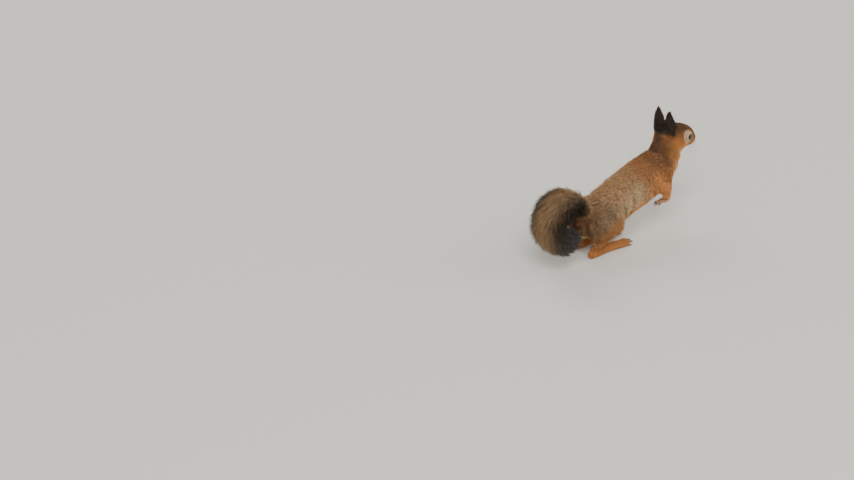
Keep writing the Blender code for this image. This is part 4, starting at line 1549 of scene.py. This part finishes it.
class SQUIRREL_OT_eyes(bpy.types.Operator):
    """Make the eyeballs and their lids"""

    bl_idname = "squirrel.eyes"
    bl_label = "Eyes and lids"

    def execute(self, context):
        colours = context.scene.squirrel_colours
        ball, lids = eye_material(colours), lid_material(colours)
        for name, side in SIDES:
            build_eye(name, side, ball)
            build_lids(name, side, context.scene.squirrel_face, lids)
        return {"FINISHED"}


class SQUIRREL_OT_nose(bpy.types.Operator):
    """Make the nose pad and the line of the mouth"""

    bl_idname = "squirrel.nose"
    bl_label = "Nose and mouth"

    def execute(self, context):
        material = nose_material(context.scene.squirrel_colours)
        build_nose(material)
        build_mouth(bpy.data.objects["skin"], material)
        return {"FINISHED"}


class SQUIRREL_OT_claws(bpy.types.Operator):
    """Make the claws of the four paws"""

    bl_idname = "squirrel.claws"
    bl_label = "Claws"

    def execute(self, context):
        material = claw_material(context.scene.squirrel_colours)
        for kind in DIGITS:
            for name, side in SIDES:
                build_claws(kind, name, side, material)
        return {"FINISHED"}


class SQUIRREL_OT_whiskers(bpy.types.Operator):
    """Make the whiskers"""

    bl_idname = "squirrel.whiskers"
    bl_label = "Whiskers"

    def execute(self, context):
        build_whiskers(context.scene.squirrel_face, whisker_material(context.scene.squirrel_colours))
        return {"FINISHED"}


class SQUIRREL_OT_stage(bpy.types.Operator):
    """Make the floor, the camera and the lights"""

    bl_idname = "squirrel.stage"
    bl_label = "Stage"

    def execute(self, context):
        stage = context.scene.squirrel_stage
        build_floor(context.scene.squirrel_colours)
        build_camera(stage)
        for light in LIGHTS:
            build_light(*light)
        build_world(stage)
        return {"FINISHED"}


OPERATORS = (
    SQUIRREL_OT_skin,
    SQUIRREL_OT_eyes,
    SQUIRREL_OT_nose,
    SQUIRREL_OT_coat,
    SQUIRREL_OT_tail,
    SQUIRREL_OT_claws,
    SQUIRREL_OT_whiskers,
    SQUIRREL_OT_stage,
)
GROUPS = {
    "squirrel_colours": SquirrelColours,
    "squirrel_skin": SquirrelSkin,
    "squirrel_coat": SquirrelCoat,
    "squirrel_face": SquirrelFace,
    "squirrel_stage": SquirrelStage,
}


class SQUIRREL_PT_panel(bpy.types.Panel):
    """The squirrel's pieces and their values"""

    bl_label = "Red squirrel"
    bl_idname = "SQUIRREL_PT_panel"
    bl_space_type = "VIEW_3D"
    bl_region_type = "UI"
    bl_category = "Squirrel"

    def draw(self, context):
        for operator in OPERATORS:
            self.layout.operator(operator.bl_idname)
        for name, group in GROUPS.items():
            box = self.layout.box()
            for value in group.__annotations__:
                box.prop(getattr(context.scene, name), value)


def register():
    for cls in (*GROUPS.values(), *OPERATORS, SQUIRREL_PT_panel):
        bpy.utils.register_class(cls)
    for name, group in GROUPS.items():
        setattr(bpy.types.Scene, name, bpy.props.PointerProperty(type=group))


def unregister():
    for name in GROUPS:
        delattr(bpy.types.Scene, name)
    for cls in (SQUIRREL_PT_panel, *OPERATORS, *GROUPS.values()):
        bpy.utils.unregister_class(cls)


def main():
    register()
    for operator in OPERATORS:
        getattr(bpy.ops.squirrel, operator.bl_idname.split(".")[1])()


if __name__ == "__main__":
    main()
